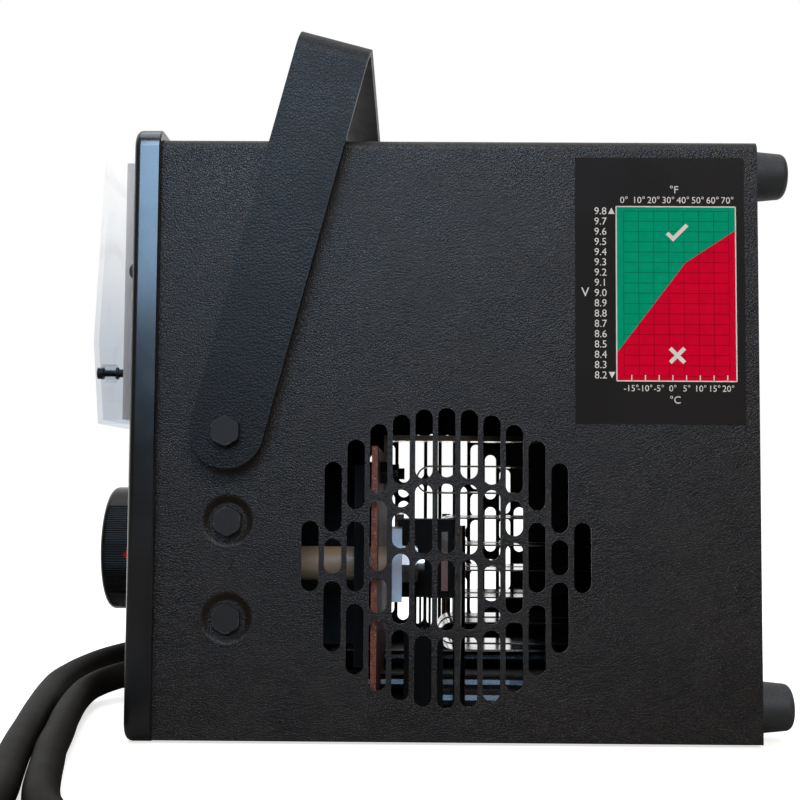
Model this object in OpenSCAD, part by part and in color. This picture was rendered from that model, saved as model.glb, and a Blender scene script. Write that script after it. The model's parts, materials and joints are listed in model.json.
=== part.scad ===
// Carbon-pile battery load tester: steel case, two panel meters, load knob, leads and clamps.
// Frame: +Z up, -X is the front panel, origin at the bottom centre of the case assembly.

/* [Case] */
// Front-to-back length of the steel case
case_l = 254; // [220:1:310]
// Width of the steel case
case_w = 305; // [296:1:370]
// Height of the steel case
case_h = 254; // [250:1:310]
// Thickness of the case sheet
sheet_t = 1.5; // [1:0.1:2.5]
// Outside radius of the folded top edges
fold_r = 4; // [3:0.5:8]
// Width of the case's inward front and bottom flanges
flange_w = 14; // [10:1:18]
// Height of the two pressed runners under the base
runner_h = 1; // [0.6:0.1:2]

/* [Front] */
// Depth of the moulded front bezel
bezel_d = 11.3; // [9:0.1:16]
// How far the bezel stands proud of the case at its top and sides
bezel_over = 4.3; // [3:0.1:5]
// Outside corner radius of the bezel
bezel_r = 9; // [5:0.5:14]
// Width of the bezel's rim at the sides
rim_side = 11.5; // [10:0.5:14]
// Width of the bezel's rim at the top
rim_top = 7.5; // [5:0.5:9]
// Width of the bezel's rim at the bottom
rim_bottom = 4; // [3:0.5:5]
// Thickness of the front panel
panel_t = 2; // [1.5:0.5:3]
// How far the panel lies behind the bezel's front face
panel_recess = 1.5; // [0.5:0.5:3]

/* [Meters] */
// Width of one meter
meter_w = 135; // [110:1:138]
// Height of one meter
meter_h = 118; // [100:1:120]
// Gap between the two meters
meter_gap = 13; // [8:1:20]
// Distance from the top of the bezel down to the meters
meter_drop = 8.3; // [8:0.1:12]
// Thickness of the clear cover's wall
cover_t = 1.8; // [1.4:0.1:2.5]
// Thickness of the moulded meter base on the panel
base_t = 8; // [6:0.5:9]

/* [Load control] */
// Diameter of the load knob
knob_d = 65; // [50:1:80]
// Length of the load knob
knob_len = 32; // [24:1:34]
// Distance from the bezel's front face to the knob's face
knob_stand = 41.4; // [38:0.2:50]
// Height of the knob's axis above the ground
knob_z = 72.3; // [64:0.1:76]
// Diameter of the load screw
screw_d = 12.7; // [10:0.1:16]
// Pitch of the load screw's thread
screw_pitch = 1.27; // [1:0.01:1.5]
// Number of turns from off to full load
knob_turns = 1.75; // [1:0.25:2]

/* [Carbon pile] */
// Number of carbon plates
plate_n = 9; // [6:1:9]
// Thickness of one carbon plate
plate_t = 6.3; // [5:0.1:6.5]
// Width of the carbon plates
plate_w = 150; // [100:1:165]
// Height of the carbon plates
plate_h = 82; // [60:1:90]
// Diameter of the pile's tie rods
rod_d = 9.5; // [8:0.1:10.5]
// Outside diameter of the insulating tubes
tube_d = 15; // [13:0.1:18]

/* [Handle] */
// Width of the handle strap
strap_w = 31; // [24:0.5:38]
// Thickness of the handle strap
strap_t = 3; // [2:0.5:4]
// Distance from the handle's pivot to the top of the strap
strap_reach = 174; // [165:1:210]
// Clearance between the case's side and the strap
strap_gap = 5.6; // [5.4:0.1:9]
// Backward lean of the handle at rest, in degrees
strap_lean = 14.75; // [0:0.25:18]
// Pivot's distance behind the case's front edge
pivot_x = 30.4; // [26:0.1:40]
// Height of the pivot above the ground
pivot_z = 129.4; // [125:0.1:140]

/* [Vents, bolts and feet] */
// Distance from the case's front edge to the vent's centre
vent_x = 122.2; // [100:0.1:140]
// Height of the vent's centre above the ground
vent_z = 77.6; // [72:0.1:90]
// Spacing of the vent's columns
vent_pitch = 9.525; // [9:0.025:11]
// Width of one vent slot
slot_w = 7.3; // [5:0.1:8]
// Length of a full vent slot
slot_l = 29.25; // [24:0.25:30]
// Diameter of the case bolts
bolt_d = 6.35; // [5:0.05:8]
// Width across the flats of the case bolts
bolt_af = 11.3; // [9:0.1:14]
// Heights of the two lower bolts above the ground
side_bolt_z = [92, 51.5];
// Diameter of the pressed dimple round a lower bolt
dimple_d = 20; // [17:0.5:26]
// Depth of the dimple
dimple_depth = 1.6; // [1:0.1:2.5]
// Length of a rear foot
foot_h = 14.7; // [10:0.1:20]
// Diameter of a rear foot at its base
foot_d = 22; // [16:0.5:28]
// Foot centre's distance from the case's sides, top and bottom
foot_inset = 12.5; // [12:0.5:18]

/* [Leads] */
// Diameter of the battery leads
cable_d = 12.5; // [10:0.1:14]
// Distance of each lead from the middle of the panel
lead_y = 45; // [36:1:60]
// Height of the leads where they leave the panel
lead_z = 14; // [14:0.5:18]
// Mean radius of the put-away coil of each lead
coil_r = 68.75; // [62:0.25:80]
// Length of a battery clamp
clamp_l = 152; // [130:1:180]
// Thickness of a battery clamp
clamp_t = 24; // [20:1:28]

/* [Hidden] */
$fn = 48;
eps = 0.01;            // overreach of a cut past the face that it opens
run_gap = 0.05;        // radial clearance of a turning or sliding shaft
fit_gap = 0.3;         // clearance between sheet parts that drop into each other
bolt_gap = 0.25;       // radial clearance of a bolt in its hole

// Stations along X
total_l = knob_stand + bezel_d + case_l + foot_h;
x_knob = -total_l / 2;
x_bezel = x_knob + knob_stand;
x_panel = x_bezel + panel_recess;
x_case = x_bezel + bezel_d;
x_back = x_case + case_l;
x_pivot = x_case + pivot_x;
x_vent = x_case + vent_x;

// Levels and half widths
z_case = runner_h;
z_top = z_case + case_h;
z_bezel = z_top + bezel_over;
z_floor = z_case + 2 * sheet_t;    // top face of the base pan
half_w = case_w / 2;
half_in = half_w - sheet_t;
half_bezel = half_w + bezel_over;

// Meter layout: the zero of each meter is the middle of its cover's bottom edge on the panel
meter_y = (meter_w + meter_gap) / 2;
meter_z = z_bezel - meter_drop - meter_h;
cover_front = [18, 20.6, 17];      // cover depth at its bottom, its apex and its top
cover_apex = 36;                   // height of the cover's apex
cover_lean = 2.4;                  // drop of the cover's top edge from panel to front
needle_z = 27;                     // height of the needle's axis above the cover's bottom
needle_l = 74;                     // length of the needle from its axis
weight_r = 4.4;                    // radius of the needle's counterweight
needle_rest = 45;                  // needle's lean towards the zero mark at rest
needle_plane = 11.6;               // needle's middle distance from the panel
needle_t = 0.6;
spindle_r = 1.2;
zero_z = 14;                       // height of the zero adjuster
zero_r = 3.2;
boss_y = meter_w / 2 - 7;          // side position of the cover's fixing screws
boss_z = 22.4;                     // height of the cover's fixing screws
boss_seat = 17.5;                  // distance from the panel to the seat of the screws' heads
boss_foot = 12;                    // distance from the panel to the boss's rear end

// Pile layout
front_plate_t = 3;
x_pile = x_case + 16;              // front face of the pile's front plate
push_t = 4;
rest_gap = 0.6;                    // gap behind the front plate when the load is off
x_push = x_pile + front_plate_t + rest_gap;
knob_travel = screw_pitch * knob_turns;
x_carbon = x_push + push_t + knob_travel + 0.1;
x_rear = x_carbon + plate_n * plate_t;
rear_t = 4;
board_t = 2.4;
x_board = x_rear + rear_t + 4;
rod_y = plate_w / 2 + tube_d / 2 + 32;
tube_end = x_board + board_t + 5.5;
flange_l = pivot_x - 16 + 12;      // reach of the front plate's side flanges
nut_h = 5.6;
panel_screw_z = 0.764 * z_bezel;

// Ribbon bank layout
ribbon_w = 20;
ribbon_t = 0.8;
ribbon_rows = [-14, 14];
ribbon_top = 117;
ribbon_pitch = 27;
ribbon_gap = 14;
ribbon_n = 4;
x_ribbon_end = x_back - 28;
ribbon_starts = [20, 32, 20, 32];  // left ends of the hairpins, measured from the board
post_r = 2.75;
post_y = 102;

// Vent pattern: columns 0 to 6 from the middle, each a list of [height, length in slots]
vent_rows = [
    [[48, 1], [16, 1], [-16, 1], [-48, 1]],
    [[47.3, 1], [15.7, 1], [-15.7, 1], [-47.3, 1]],
    [[45, 1], [24.3, 0], [10.9, 0.5], [-13.4, 1], [-45, 1]],
    [[41, 1], [8.6, 1], [-16.2, 0.5], [-41, 1]],
    [[34.3, 1], [0, 1], [-34.3, 1]],
    [[24.9, 1], [0, 0.5], [-24.9, 1]],
    [[0, 1]]];

// Lead routes: hand-placed points from the panel bushing to the coil
near_route = [[-127, -45, 14], [-135.4, -46, 13.2], [-142.3, -48.8, 12.1], [-148.2, -53.3, 10.8],
    [-152.7, -59.3, 9.5], [-155.5, -66.1, 8.3], [-156.5, -73.5, 7.4], [-156.4, -83, 6.6],
    [-155.4, -94, 6.3], [-153.6, -107, 6.3], [-151.3, -121, 6.3], [-148.4, -138, 6.3],
    [-144.6, -157, 6.3], [-141, -177, 6.3], [-137.2, -198, 6.3], [-132.4, -219, 6.3],
    [-127.6, -240, 6.3], [-122.6, -260, 6.3], [-116.6, -279, 6.3], [-108, -296.5, 6.3],
    [-96, -311, 6.3], [-80, -323, 6.3], [-60, -332.5, 6.3], [-36, -340, 6.3],
    [-10, -347, 6.3], [18, -353.5, 6.3], [48, -359.3, 6.3], [78, -362.3, 6.3]];
far_route = [[-127, 45, 14], [-133, 45, 13.8], [-142, 44, 13.2], [-151, 40.7, 12.3],
    [-159.2, 35.3, 11.2], [-166.2, 27.8, 10], [-171.8, 18.5, 8.8], [-175.7, 7.8, 7.7],
    [-178.2, -4, 6.9], [-179.2, -17, 6.4], [-179, -31, 6.3], [-177.7, -46, 6.3],
    [-175.5, -62, 6.3], [-172.8, -79, 6.3], [-169.6, -97, 6.3], [-166.2, -116, 6.3],
    [-162.4, -136, 6.3], [-158.3, -157, 6.3], [-154.4, -178, 6.3], [-150.2, -199, 6.3],
    [-145.6, -220, 6.3], [-140.8, -241, 6.3], [-136.2, -261, 6.3], [-132.6, -280, 6.3],
    [-129.8, -297, 6.3], [-127.6, -313, 6.3], [-126, -329, 6.3], [-123.6, -342.5, 6.3],
    [-116.6, -352.9, 6.3], [-106.2, -359.9, 6.3], [-94, -362.3, 6.3]];
coil_centres = [[78, -431], [-94, -431]];
coil_end = 290;                    // angle round the coil at which the lead leaves for its clamp
tail_l = 70;                       // straight stretch from the coil to the clamp
clamp_z = 2;                       // the clamp's frame lies this far above the ground

// ---------- shared shapes ----------

// Rectangle w by h standing on the X axis, with its two top corners rounded
module arch(w, h, r) {
    translate([-w / 2, 0]) square([w, h - r]);
    translate([-w / 2 + r, h - 2 * r]) square([w - 2 * r, 2 * r]);
    for (s = [-1, 1]) translate([s * (w / 2 - r), h - r]) circle(r);
}

// Rectangle w by h standing on the X axis, with four rounded corners
module pillow(w, h, r) {
    translate([-w / 2, r]) square([w, h - 2 * r]);
    translate([-w / 2 + r, 0]) square([w - 2 * r, h]);
    for (s = [-1, 1], z = [r, h - r]) translate([s * (w / 2 - r), z]) circle(r);
}

// Turns an outline drawn in Y and Z into a sheet of depth l that starts at x
module along_x(x, l) {
    translate([x, 0, 0]) rotate([90, 0, 90]) linear_extrude(l) children();
}

// Round bar along X from x, at y and z
module bar_x(x, l, r, y = 0, z = 0) {
    translate([x, y, z]) rotate([0, 90, 0]) cylinder(h = l, r = r);
}

// Round bar along Y, outwards from y on side s
module bar_y(s, y, l, r, x, z) {
    translate([x, s * y, z]) rotate([-s * 90, 0, 0]) cylinder(h = l, r = r);
}

// Slot of width w and full length l, upright
module slot(w, l) {
    if (l > w) translate([-w / 2, -(l - w) / 2]) square([w, l - w]);
    for (s = [-1, 1]) translate([0, s * max(l - w, 0) / 2]) circle(w / 2);
}

// Hexagonal head or nut along +Z, with its outer corners turned off
module hex(af, h) {
    intersection() {
        rotate(30) cylinder(h = h, r = af / sqrt(3), $fn = 6);
        cylinder(h = h, r1 = af / sqrt(3) + h * 0.5, r2 = af / sqrt(3) - 0.55);
    }
}

// Pan head along +Z with a cross recess
module pan_head(d, h) {
    difference() {
        union() {
            cylinder(h = h * 0.45, r = d / 2);
            translate([0, 0, h * 0.45]) cylinder(h = h * 0.55, r1 = d / 2, r2 = d * 0.3);
        }
        for (a = [0, 90]) rotate(a) translate([-d * 0.22, -0.4, h * 0.5]) cube([d * 0.44, 0.8, h]);
    }
}

// Tube swept along the points of a route, closed at both ends
function unit(v) = v / norm(v);
function heading(p, i) = unit(p[min(i + 1, len(p) - 1)] - p[max(i - 1, 0)]);
function sideways(t) = unit(cross(t, [0, 0, 1]));
function ring(p, t, r, n) = [for (k = [0:n - 1])
    let (a = 360 * k / n, u = sideways(t), v = cross(u, t)) p + r * (cos(a) * u + sin(a) * v)];
module swept(route, r, n = 8) {
    last = len(route) - 1;
    points = [for (i = [0:last]) each ring(route[i], heading(route, i), r, n)];
    sides = [for (i = [0:last - 1], k = [0:n - 1])
        [i * n + k, i * n + (k + 1) % n, (i + 1) * n + (k + 1) % n, (i + 1) * n + k]];
    ends = [[for (k = [n - 1:-1:0]) k], [for (k = [0:n - 1]) last * n + k]];
    polyhedron(points, concat(sides, ends), convexity = 6);
}

// ---------- case ----------

module vent_holes() {
    for (k = [-6:6], row = vent_rows[abs(k)]) {
        z = (k > 0 ? -1 : 1) * row[0];
        l = max(row[1] * slot_l + (row[1] == 0.5 ? 0.1 : 0), slot_w);
        translate([x_vent + k * vent_pitch, 0, vent_z + z]) rotate([90, 0, 0])
            linear_extrude(case_w + 2, center = true) slot(slot_w, l);
    }
}

dimple_floor = bolt_af / 2 / cos(30) + 0.9;  // flat middle that the bolt's head lies in
dimple_rim = dimple_d / 2 + 1.2;

// Dished dimple in one side of the case, grown outwards by grow for its wall inside
module dimple(y, s, z, grow) {
    steps = 8;
    dish = [for (i = [0:steps]) [dimple_rim + (dimple_floor - dimple_rim) * i / steps + grow,
        eps + dimple_depth * (1 - cos(180 * i / steps)) / 2]];
    translate([x_pivot, s * (y + eps), z]) rotate([s * 90, 0, 0]) rotate_extrude()
        polygon(concat([[0, 0], [dimple_rim + grow, 0]], dish, [[0, dimple_depth + eps]]));
}

module case_wrap() color([0.17, 0.17, 0.175]) {
    difference() {
        union() {
            difference() {
                translate([0, 0, z_case]) along_x(x_case, case_l) arch(case_w, case_h, fold_r);
                translate([0, 0, z_case - eps]) along_x(x_case - eps, case_l + 2 * eps)
                    arch(2 * half_in, case_h - sheet_t + eps, fold_r - sheet_t);
            }
            // front flange
            difference() {
                translate([0, 0, z_case]) along_x(x_case, sheet_t) arch(case_w, case_h, fold_r);
                translate([0, 0, z_case - eps]) along_x(x_case - eps, sheet_t + 2 * eps)
                    translate([-half_w + flange_w, 0])
                        square([case_w - 2 * flange_w, case_h - flange_w + eps]);
            }
            // bottom flanges
            for (s = [-1, 1]) translate([x_case, s > 0 ? half_w - flange_w : -half_w, z_case])
                cube([case_l, flange_w, sheet_t]);
            for (s = [-1, 1], z = side_bolt_z) dimple(half_in, s, z, sheet_t / 3);
        }
        for (s = [-1, 1], z = side_bolt_z) dimple(half_w, s, z, 0);
        for (s = [-1, 1], z = concat(side_bolt_z, [pivot_z]))
            bar_y(s, half_w - 12, 14, bolt_d / 2 + bolt_gap, x_pivot, z);
        for (s = [-1, 1]) bar_x(x_case - 1, 4, 1.9, s * (half_w - 4.5), panel_screw_z);
        for (s = [-1, 1], x = base_screw_x) translate([x, s * base_screw_y, 0])
            cylinder(h = 4, r = 2.1);
        vent_holes();
    }
}

base_screw_y = half_w - flange_w / 2 - 1;
base_screw_x = [x_case + 26, x_vent, x_back - 26];
runner_x = [x_back - 70, x_back - 16];
runner_y = half_w - 42;
pan_front_h = 8;

// Bottom and back of the case, folded from one sheet
module base_pan() color([0.15, 0.15, 0.155]) {
    pan_w = 2 * (half_in - fit_gap);
    front = x_case + sheet_t + fit_gap;
    difference() {
        union() {
            translate([front, -pan_w / 2, z_case + sheet_t]) cube([x_back - front, pan_w, sheet_t]);
            translate([front, -pan_w / 2, z_case + sheet_t]) cube([sheet_t, pan_w, pan_front_h]);
            translate([0, 0, z_case + sheet_t]) along_x(x_back - sheet_t, sheet_t)
                arch(pan_w, case_h - 2 * sheet_t - fit_gap, fold_r - sheet_t);
            for (s = [-1, 1]) translate([runner_x[0], s * runner_y - 9, 0])
                cube([runner_x[1] - runner_x[0], 18, z_floor - eps]);
        }
        for (s = [-1, 1]) translate([runner_x[0] + sheet_t, s * runner_y - 9 + sheet_t, sheet_t])
            cube([runner_x[1] - runner_x[0] - 2 * sheet_t, 18 - 2 * sheet_t, z_floor]);
        for (s = [-1, 1], x = base_screw_x) translate([x, s * base_screw_y, 0])
            cylinder(h = 8, r = 1.6);
        for (s = [-1, 1], z = foot_zs) bar_x(x_back - 4, 8, 2.3, s * (half_w - foot_inset), z);
        for (s = [-1, 1]) bar_x(x_case - 1, 6, cable_d / 2 + 1.2, s * lead_y, lead_z);
        for (s = [-1, 1]) bar_x(x_case - 1, 6, 1.9, s * low_screw_y, low_screw_z);
    }
}

module base_screws() color([0.2, 0.2, 0.2])
    for (s = [-1, 1], x = base_screw_x) translate([x, s * base_screw_y, 0]) {
        translate([0, 0, z_case]) mirror([0, 0, 1]) pan_head(6, 0.9);
        translate([0, 0, z_case]) cylinder(h = 9, r = 1.55);
    }

bezel_edge = 3;        // radius of the bezel's front edge
module front_bezel() color([0.1, 0.105, 0.11]) {
    open_w = 2 * (half_bezel - rim_side);
    ledge = 6;
    difference() {
        union() {
            along_x(x_bezel + bezel_edge, bezel_d - bezel_edge) pillow(2 * half_bezel, z_bezel, bezel_r);
            // front edge stepped back in an arc
            for (a = [0:15:75]) {
                k = bezel_edge * (1 - sin(a + 15));
                along_x(x_bezel + bezel_edge * (1 - cos(a)), bezel_edge) translate([0, k])
                    pillow(2 * (half_bezel - k), z_bezel - 2 * k, bezel_r - k);
            }
        }
        along_x(x_bezel - eps, panel_recess + panel_t + eps) translate([0, rim_bottom])
            pillow(open_w, z_bezel - rim_top - rim_bottom, 3);
        along_x(x_bezel - eps, bezel_d + 1) translate([0, rim_bottom + ledge])
            pillow(open_w - 2 * ledge, z_bezel - rim_top - rim_bottom - 2 * ledge, 3);
        // seat for the case's front edge
        translate([0, 0, z_case - fit_gap]) along_x(x_case - 1, 2)
            arch(case_w + 2 * fit_gap, case_h + 2 * fit_gap, fold_r);
        for (s = [-1, 1]) bar_x(x_bezel - 1, bezel_d + 2, cable_d / 2 + 3.9, s * lead_y, lead_z);
        for (s = [-1, 1]) bar_x(x_bezel - 1, bezel_d + 2, 2.1, s * (half_w - 4.5), panel_screw_z);
        for (s = [-1, 1]) bar_x(x_panel, bezel_d, 2.1, s * low_screw_y, low_screw_z);
    }
}

low_screw_y = half_w - 42;
low_screw_z = rim_bottom + 5;

module front_panel() color([0.13, 0.13, 0.135]) {
    open_w = 2 * (half_bezel - rim_side - fit_gap);
    difference() {
        along_x(x_panel, panel_t) translate([0, rim_bottom + fit_gap])
            pillow(open_w, z_bezel - rim_top - rim_bottom - 2 * fit_gap, 3);
        bar_x(x_panel - 1, 8, screw_d / 2 + 2.2, 0, knob_z);
        for (s = [-1, 1]) bar_x(x_panel - 1, 8, cable_d / 2 + 2.5, s * lead_y, lead_z);
        for (s = [-1, 1]) bar_x(x_panel - 1, 8, 2.1, s * low_screw_y, low_screw_z);
        for (s = [-1, 1]) bar_x(x_panel - 1, 8, barrel_r + fit_gap, s * meter_y, meter_z + needle_z);
        for (s = [-1, 1], t = [-1, 1])
            bar_x(x_panel - 1, 8, stud_r + 0.2, s * meter_y + t * stud_at[0], meter_z + stud_at[1]);
    }
}

// Two screws through the bezel's rim and two through the panel's bottom edge
module panel_screws() color([0.08, 0.08, 0.08]) {
    for (s = [-1, 1]) translate([x_bezel, s * (half_w - 4.5), panel_screw_z]) rotate([0, -90, 0]) {
        pan_head(7, 2.4);
        mirror([0, 0, 1]) cylinder(h = bezel_d + 6, r = 1.85);
    }
    for (s = [-1, 1]) translate([x_panel, s * low_screw_y, low_screw_z]) rotate([0, -90, 0]) {
        pan_head(7, 2.4);
        mirror([0, 0, 1]) cylinder(h = bezel_d + 4, r = 1.85);
    }
}

foot_zs = [z_case + foot_inset + 1, z_top - foot_inset];

module foot() {
    tip = foot_d / 2 - 1.1;
    difference() {
        union() {
            cylinder(h = foot_h - 3, r1 = foot_d / 2, r2 = tip);
            translate([0, 0, foot_h - 3 - eps]) cylinder(h = 3 + eps, r = tip - 3);
            translate([0, 0, foot_h - 3]) rotate_extrude() translate([tip - 3, 0]) circle(3);
        }
        translate([0, 0, -1]) cylinder(h = foot_h + 2, r = 2.3);
        translate([0, 0, 5]) cylinder(h = foot_h, r = 4.8);
    }
}

module rubber_feet() color([0.12, 0.12, 0.12])
    for (s = [-1, 1], z = foot_zs)
        translate([x_back, s * (half_w - foot_inset), z]) rotate([0, 90, 0]) foot();

module foot_screws() color([0.6, 0.6, 0.6])
    for (s = [-1, 1], z = foot_zs) translate([x_back, s * (half_w - foot_inset), z]) rotate([0, 90, 0]) {
        translate([0, 0, 5]) pan_head(8.4, 3);
        translate([0, 0, -6]) cylinder(h = 11 + eps, r = 2);
        translate([0, 0, -sheet_t - 3.2]) difference() {
            cylinder(h = 3.2, r = 4.2, $fn = 6);
            translate([0, 0, -1]) cylinder(h = 6, r = 2);
        }
    }

label_w = 71.8;
label_h = 113.6;
label_back = 5.8;      // distance from the label to the case's back edge
label_drop = 7.5;      // distance from the label to the case's top
module chart_label() color([0.02, 0.02, 0.02])
    translate([x_back - label_back - label_w, -half_w - 0.3, z_top - label_drop - label_h])
        cube([label_w, 0.3, label_h]);

// ---------- handle and bolts ----------

strap_in = half_w + strap_gap;
strap_r = 9;           // outside radius of the strap's bends

// Handle upright about its pivot, before it leans back
module handle_upright() {
    difference() {
        intersection() {
            rotate([90, 0, 90]) linear_extrude(strap_w, center = true) difference() {
                union() {
                    translate([0, strap_reach - 60]) arch(2 * (strap_in + strap_t), 60, strap_r);
                    translate([-strap_in - strap_t, -strap_w / 2])
                        square([2 * (strap_in + strap_t), strap_reach - 60 + strap_w / 2 + eps]);
                }
                translate([0, strap_reach - 70]) arch(2 * strap_in, 70 - strap_t, strap_r - strap_t);
                translate([-strap_in, -strap_w]) square([2 * strap_in, strap_reach]);
                translate([-strap_in + strap_r, -strap_w])
                    square([2 * (strap_in - strap_r), strap_reach + strap_w - strap_t]);
            }
            union() {
                rotate([90, 0, 0]) cylinder(h = 3 * case_w, r = strap_w / 2, center = true);
                translate([-strap_w, -case_w, 0]) cube([2 * strap_w, 2 * case_w, strap_reach + 1]);
            }
        }
        rotate([90, 0, 0]) cylinder(h = 3 * case_w, r = bolt_d / 2 + run_gap, center = true);
    }
}

module handle_strap() color([0.16, 0.16, 0.165])
    translate([x_pivot, 0, pivot_z]) rotate([0, strap_lean, 0]) handle_upright();

head_gap = 0.15;       // gap between the strap and a pivot bolt's head
head_h = 4.6;
module pivot_bolts() color([0.1, 0.1, 0.1])
    for (s = [-1, 1]) {
        head_y = strap_in + strap_t + head_gap;
        bar_y(s, half_w - 13, head_y - half_w + 13 + eps, bolt_d / 2, x_pivot, pivot_z);
        translate([x_pivot, s * head_y, pivot_z]) rotate([-s * 90, 0, 0]) hex(bolt_af, head_h);
    }

module pivot_spacers() color([0.25, 0.25, 0.25])
    for (s = [-1, 1]) translate([x_pivot, s * half_w, pivot_z]) rotate([-s * 90, 0, 0])
        difference() {
            cylinder(h = strap_gap - 0.1, r = 9);
            translate([0, 0, -1]) cylinder(h = strap_gap + 2, r = bolt_d / 2 + 0.1);
        }

module side_bolts() color([0.1, 0.1, 0.1])
    for (s = [-1, 1], z = side_bolt_z) {
        seat = half_w - dimple_depth;
        bar_y(s, half_in - dimple_depth - front_plate_t - nut_h - 2.2,
            seat - half_in + dimple_depth + front_plate_t + nut_h + 2.2 + eps, bolt_d / 2, x_pivot, z);
        translate([x_pivot, s * seat, z]) rotate([-s * 90, 0, 0]) hex(bolt_af, head_h);
    }

module nut(s, y, z) translate([x_pivot, s * y, z]) rotate([s * 90, 0, 0])
    difference() {
        hex(bolt_af, nut_h);
        translate([0, 0, -1]) cylinder(h = nut_h + 2, r = bolt_d / 2 + 0.02);
    }

module bolt_nuts() color([0.65, 0.65, 0.66])
    for (s = [-1, 1]) {
        nut(s, half_in, pivot_z);
        for (z = side_bolt_z) nut(s, half_in - dimple_depth - front_plate_t, z);
    }

// ---------- load control and carbon pile ----------

screw_back = x_push;
knob_flutes = 27;      // ridges on each gripping side of the knob
knob_edge = 3;         // depth of the knob's bevelled front edge

// Outline of the knob: two smooth lobes, and gripping ridges on the two sides between them
function knob_outline(r) = [for (s = [0, 180]) each concat(
    [for (a = [-45:5:45]) r * [cos(a + s), sin(a + s)]],
    [for (k = [-(knob_flutes - 1) / 2:(knob_flutes - 1) / 2], t = [[-1, 1], [-0.8, 0], [0.8, 0], [1, 1]])
        let (a = 90 + s + k * 86 / (knob_flutes - 1) + t[0]) (r - t[1]) * [cos(a), sin(a)]])];

module load_knob() color([0.09, 0.09, 0.095])
    translate([x_knob, 0, knob_z]) rotate([0, 90, 0]) difference() {
        r = knob_d / 2;
        union() {
            translate([0, 0, knob_edge]) linear_extrude(knob_len - knob_edge) polygon(knob_outline(r));
            cylinder(h = knob_edge + eps, r1 = r - 1 - knob_edge, r2 = r - 1.2);
        }
        translate([0, 0, -1]) cylinder(h = 1 + inlay_t, r = inlay_r + 0.1);
        translate([0, 0, inlay_t + 3]) cylinder(h = knob_len, r = screw_d / 2);
        translate([0, 0, knob_len - 12]) difference() {
            cylinder(h = 13, r = knob_d / 2 - 5);
            translate([0, 0, -1]) cylinder(h = 15, r = screw_d / 2 + 6);
        }
    }

inlay_t = 1.2;
inlay_r = knob_d * 0.28;
module knob_inlay() color([0.75, 0.75, 0.76])
    bar_x(x_knob + 0.2, inlay_t - 0.2, inlay_r, 0, knob_z);

module load_screw() color([0.6, 0.6, 0.62]) {
    start = x_knob + inlay_t + 3;
    bar_x(start + eps, screw_back - start - eps, screw_d / 2, 0, knob_z);
}

module screw_bushing() color([0.72, 0.57, 0.3]) difference() {
    union() {
        translate([x_pile - 9, 0, knob_z]) rotate([0, 90, 0]) hex(24, 9);
        bar_x(x_pile - eps, front_plate_t + eps, 9.5, 0, knob_z);
    }
    bar_x(x_pile - 12, 30, screw_d / 2 + run_gap, 0, knob_z);
}

module pressure_plate() color([0.55, 0.55, 0.57])
    translate([x_push, -plate_w / 2, knob_z - plate_h / 2]) cube([push_t, plate_w, plate_h]);

// Cross member of the pile, bolted to both sides of the case through its flanges
module pile_front_plate() color([0.14, 0.14, 0.145]) {
    low = 30;
    high = 114;
    half = half_in - dimple_depth;
    difference() {
        union() {
            translate([x_pile, -half, low]) cube([front_plate_t, 2 * half, high - low]);
            for (s = [-1, 1]) translate([x_pile, s > 0 ? half - front_plate_t : -half, low])
                cube([flange_l, front_plate_t, high - low]);
        }
        bar_x(x_pile - 1, 8, 9.5, 0, knob_z);
        for (s = [-1, 1]) bar_x(x_pile - 1, 8, rod_d / 2 + 0.1, s * rod_y, knob_z);
        for (s = [-1, 1], z = side_bolt_z) bar_y(s, half - 8, 12, bolt_d / 2 + bolt_gap, x_pivot, z);
    }
}

module carbon_plates() color([0.13, 0.13, 0.13])
    for (i = [0:plate_n - 1]) translate([x_carbon + i * plate_t, -plate_w / 2, knob_z - plate_h / 2])
        cube([plate_t - 0.1, plate_w, plate_h]);

module pile_rear_plate() color([0.2, 0.2, 0.2]) difference() {
    half = rod_y + tube_d / 2 + 7;
    translate([x_rear, -half, knob_z - plate_h / 2 - 3]) cube([rear_t, 2 * half, plate_h + 6]);
    for (s = [-1, 1]) bar_x(x_rear - 1, 8, tube_d / 2 + 0.1, s * rod_y, knob_z);
}

module tie_rods() color([0.5, 0.5, 0.52])
    for (s = [-1, 1]) bar_x(x_pile - 9, tube_end + 24 - x_pile, rod_d / 2, s * rod_y, knob_z);

module tie_rod_nuts() color([0.65, 0.65, 0.66])
    for (s = [-1, 1], end = [[x_pile - 7, 7], [tube_end + bracket_t, 7]])
        translate([end[0], s * rod_y, knob_z]) rotate([0, 90, 0]) difference() {
            hex(15.9, end[1]);
            translate([0, 0, -1]) cylinder(h = 10, r = rod_d / 2 + 0.02);
        }

module insulating_tubes() color([0.85, 0.78, 0.66])
    for (s = [-1, 1]) translate([x_pile + front_plate_t, s * rod_y, knob_z]) rotate([0, 90, 0]) difference() {
        cylinder(h = tube_end - x_pile - front_plate_t, r = tube_d / 2);
        translate([0, 0, -1]) cylinder(h = tube_end - x_pile + 2, r = rod_d / 2 + 0.1);
    }

module fibre_board() color([0.42, 0.2, 0.12]) difference() {
    half = half_in - 3;
    translate([x_board, -half, z_floor]) cube([board_t, 2 * half, 124 - z_floor]);
    for (s = [-1, 1]) bar_x(x_board - 1, 6, tube_d / 2 + 0.1, s * rod_y, knob_z);
    for (s = [-1, 1]) bar_x(x_board - 1, 6, inner_d / 2 + 0.6, s * lead_y, inner_z);
    for (y = stud_ys) bar_x(x_board - 1, 6, 3.1, y, stud_z);
}

bracket_t = 5;
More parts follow.
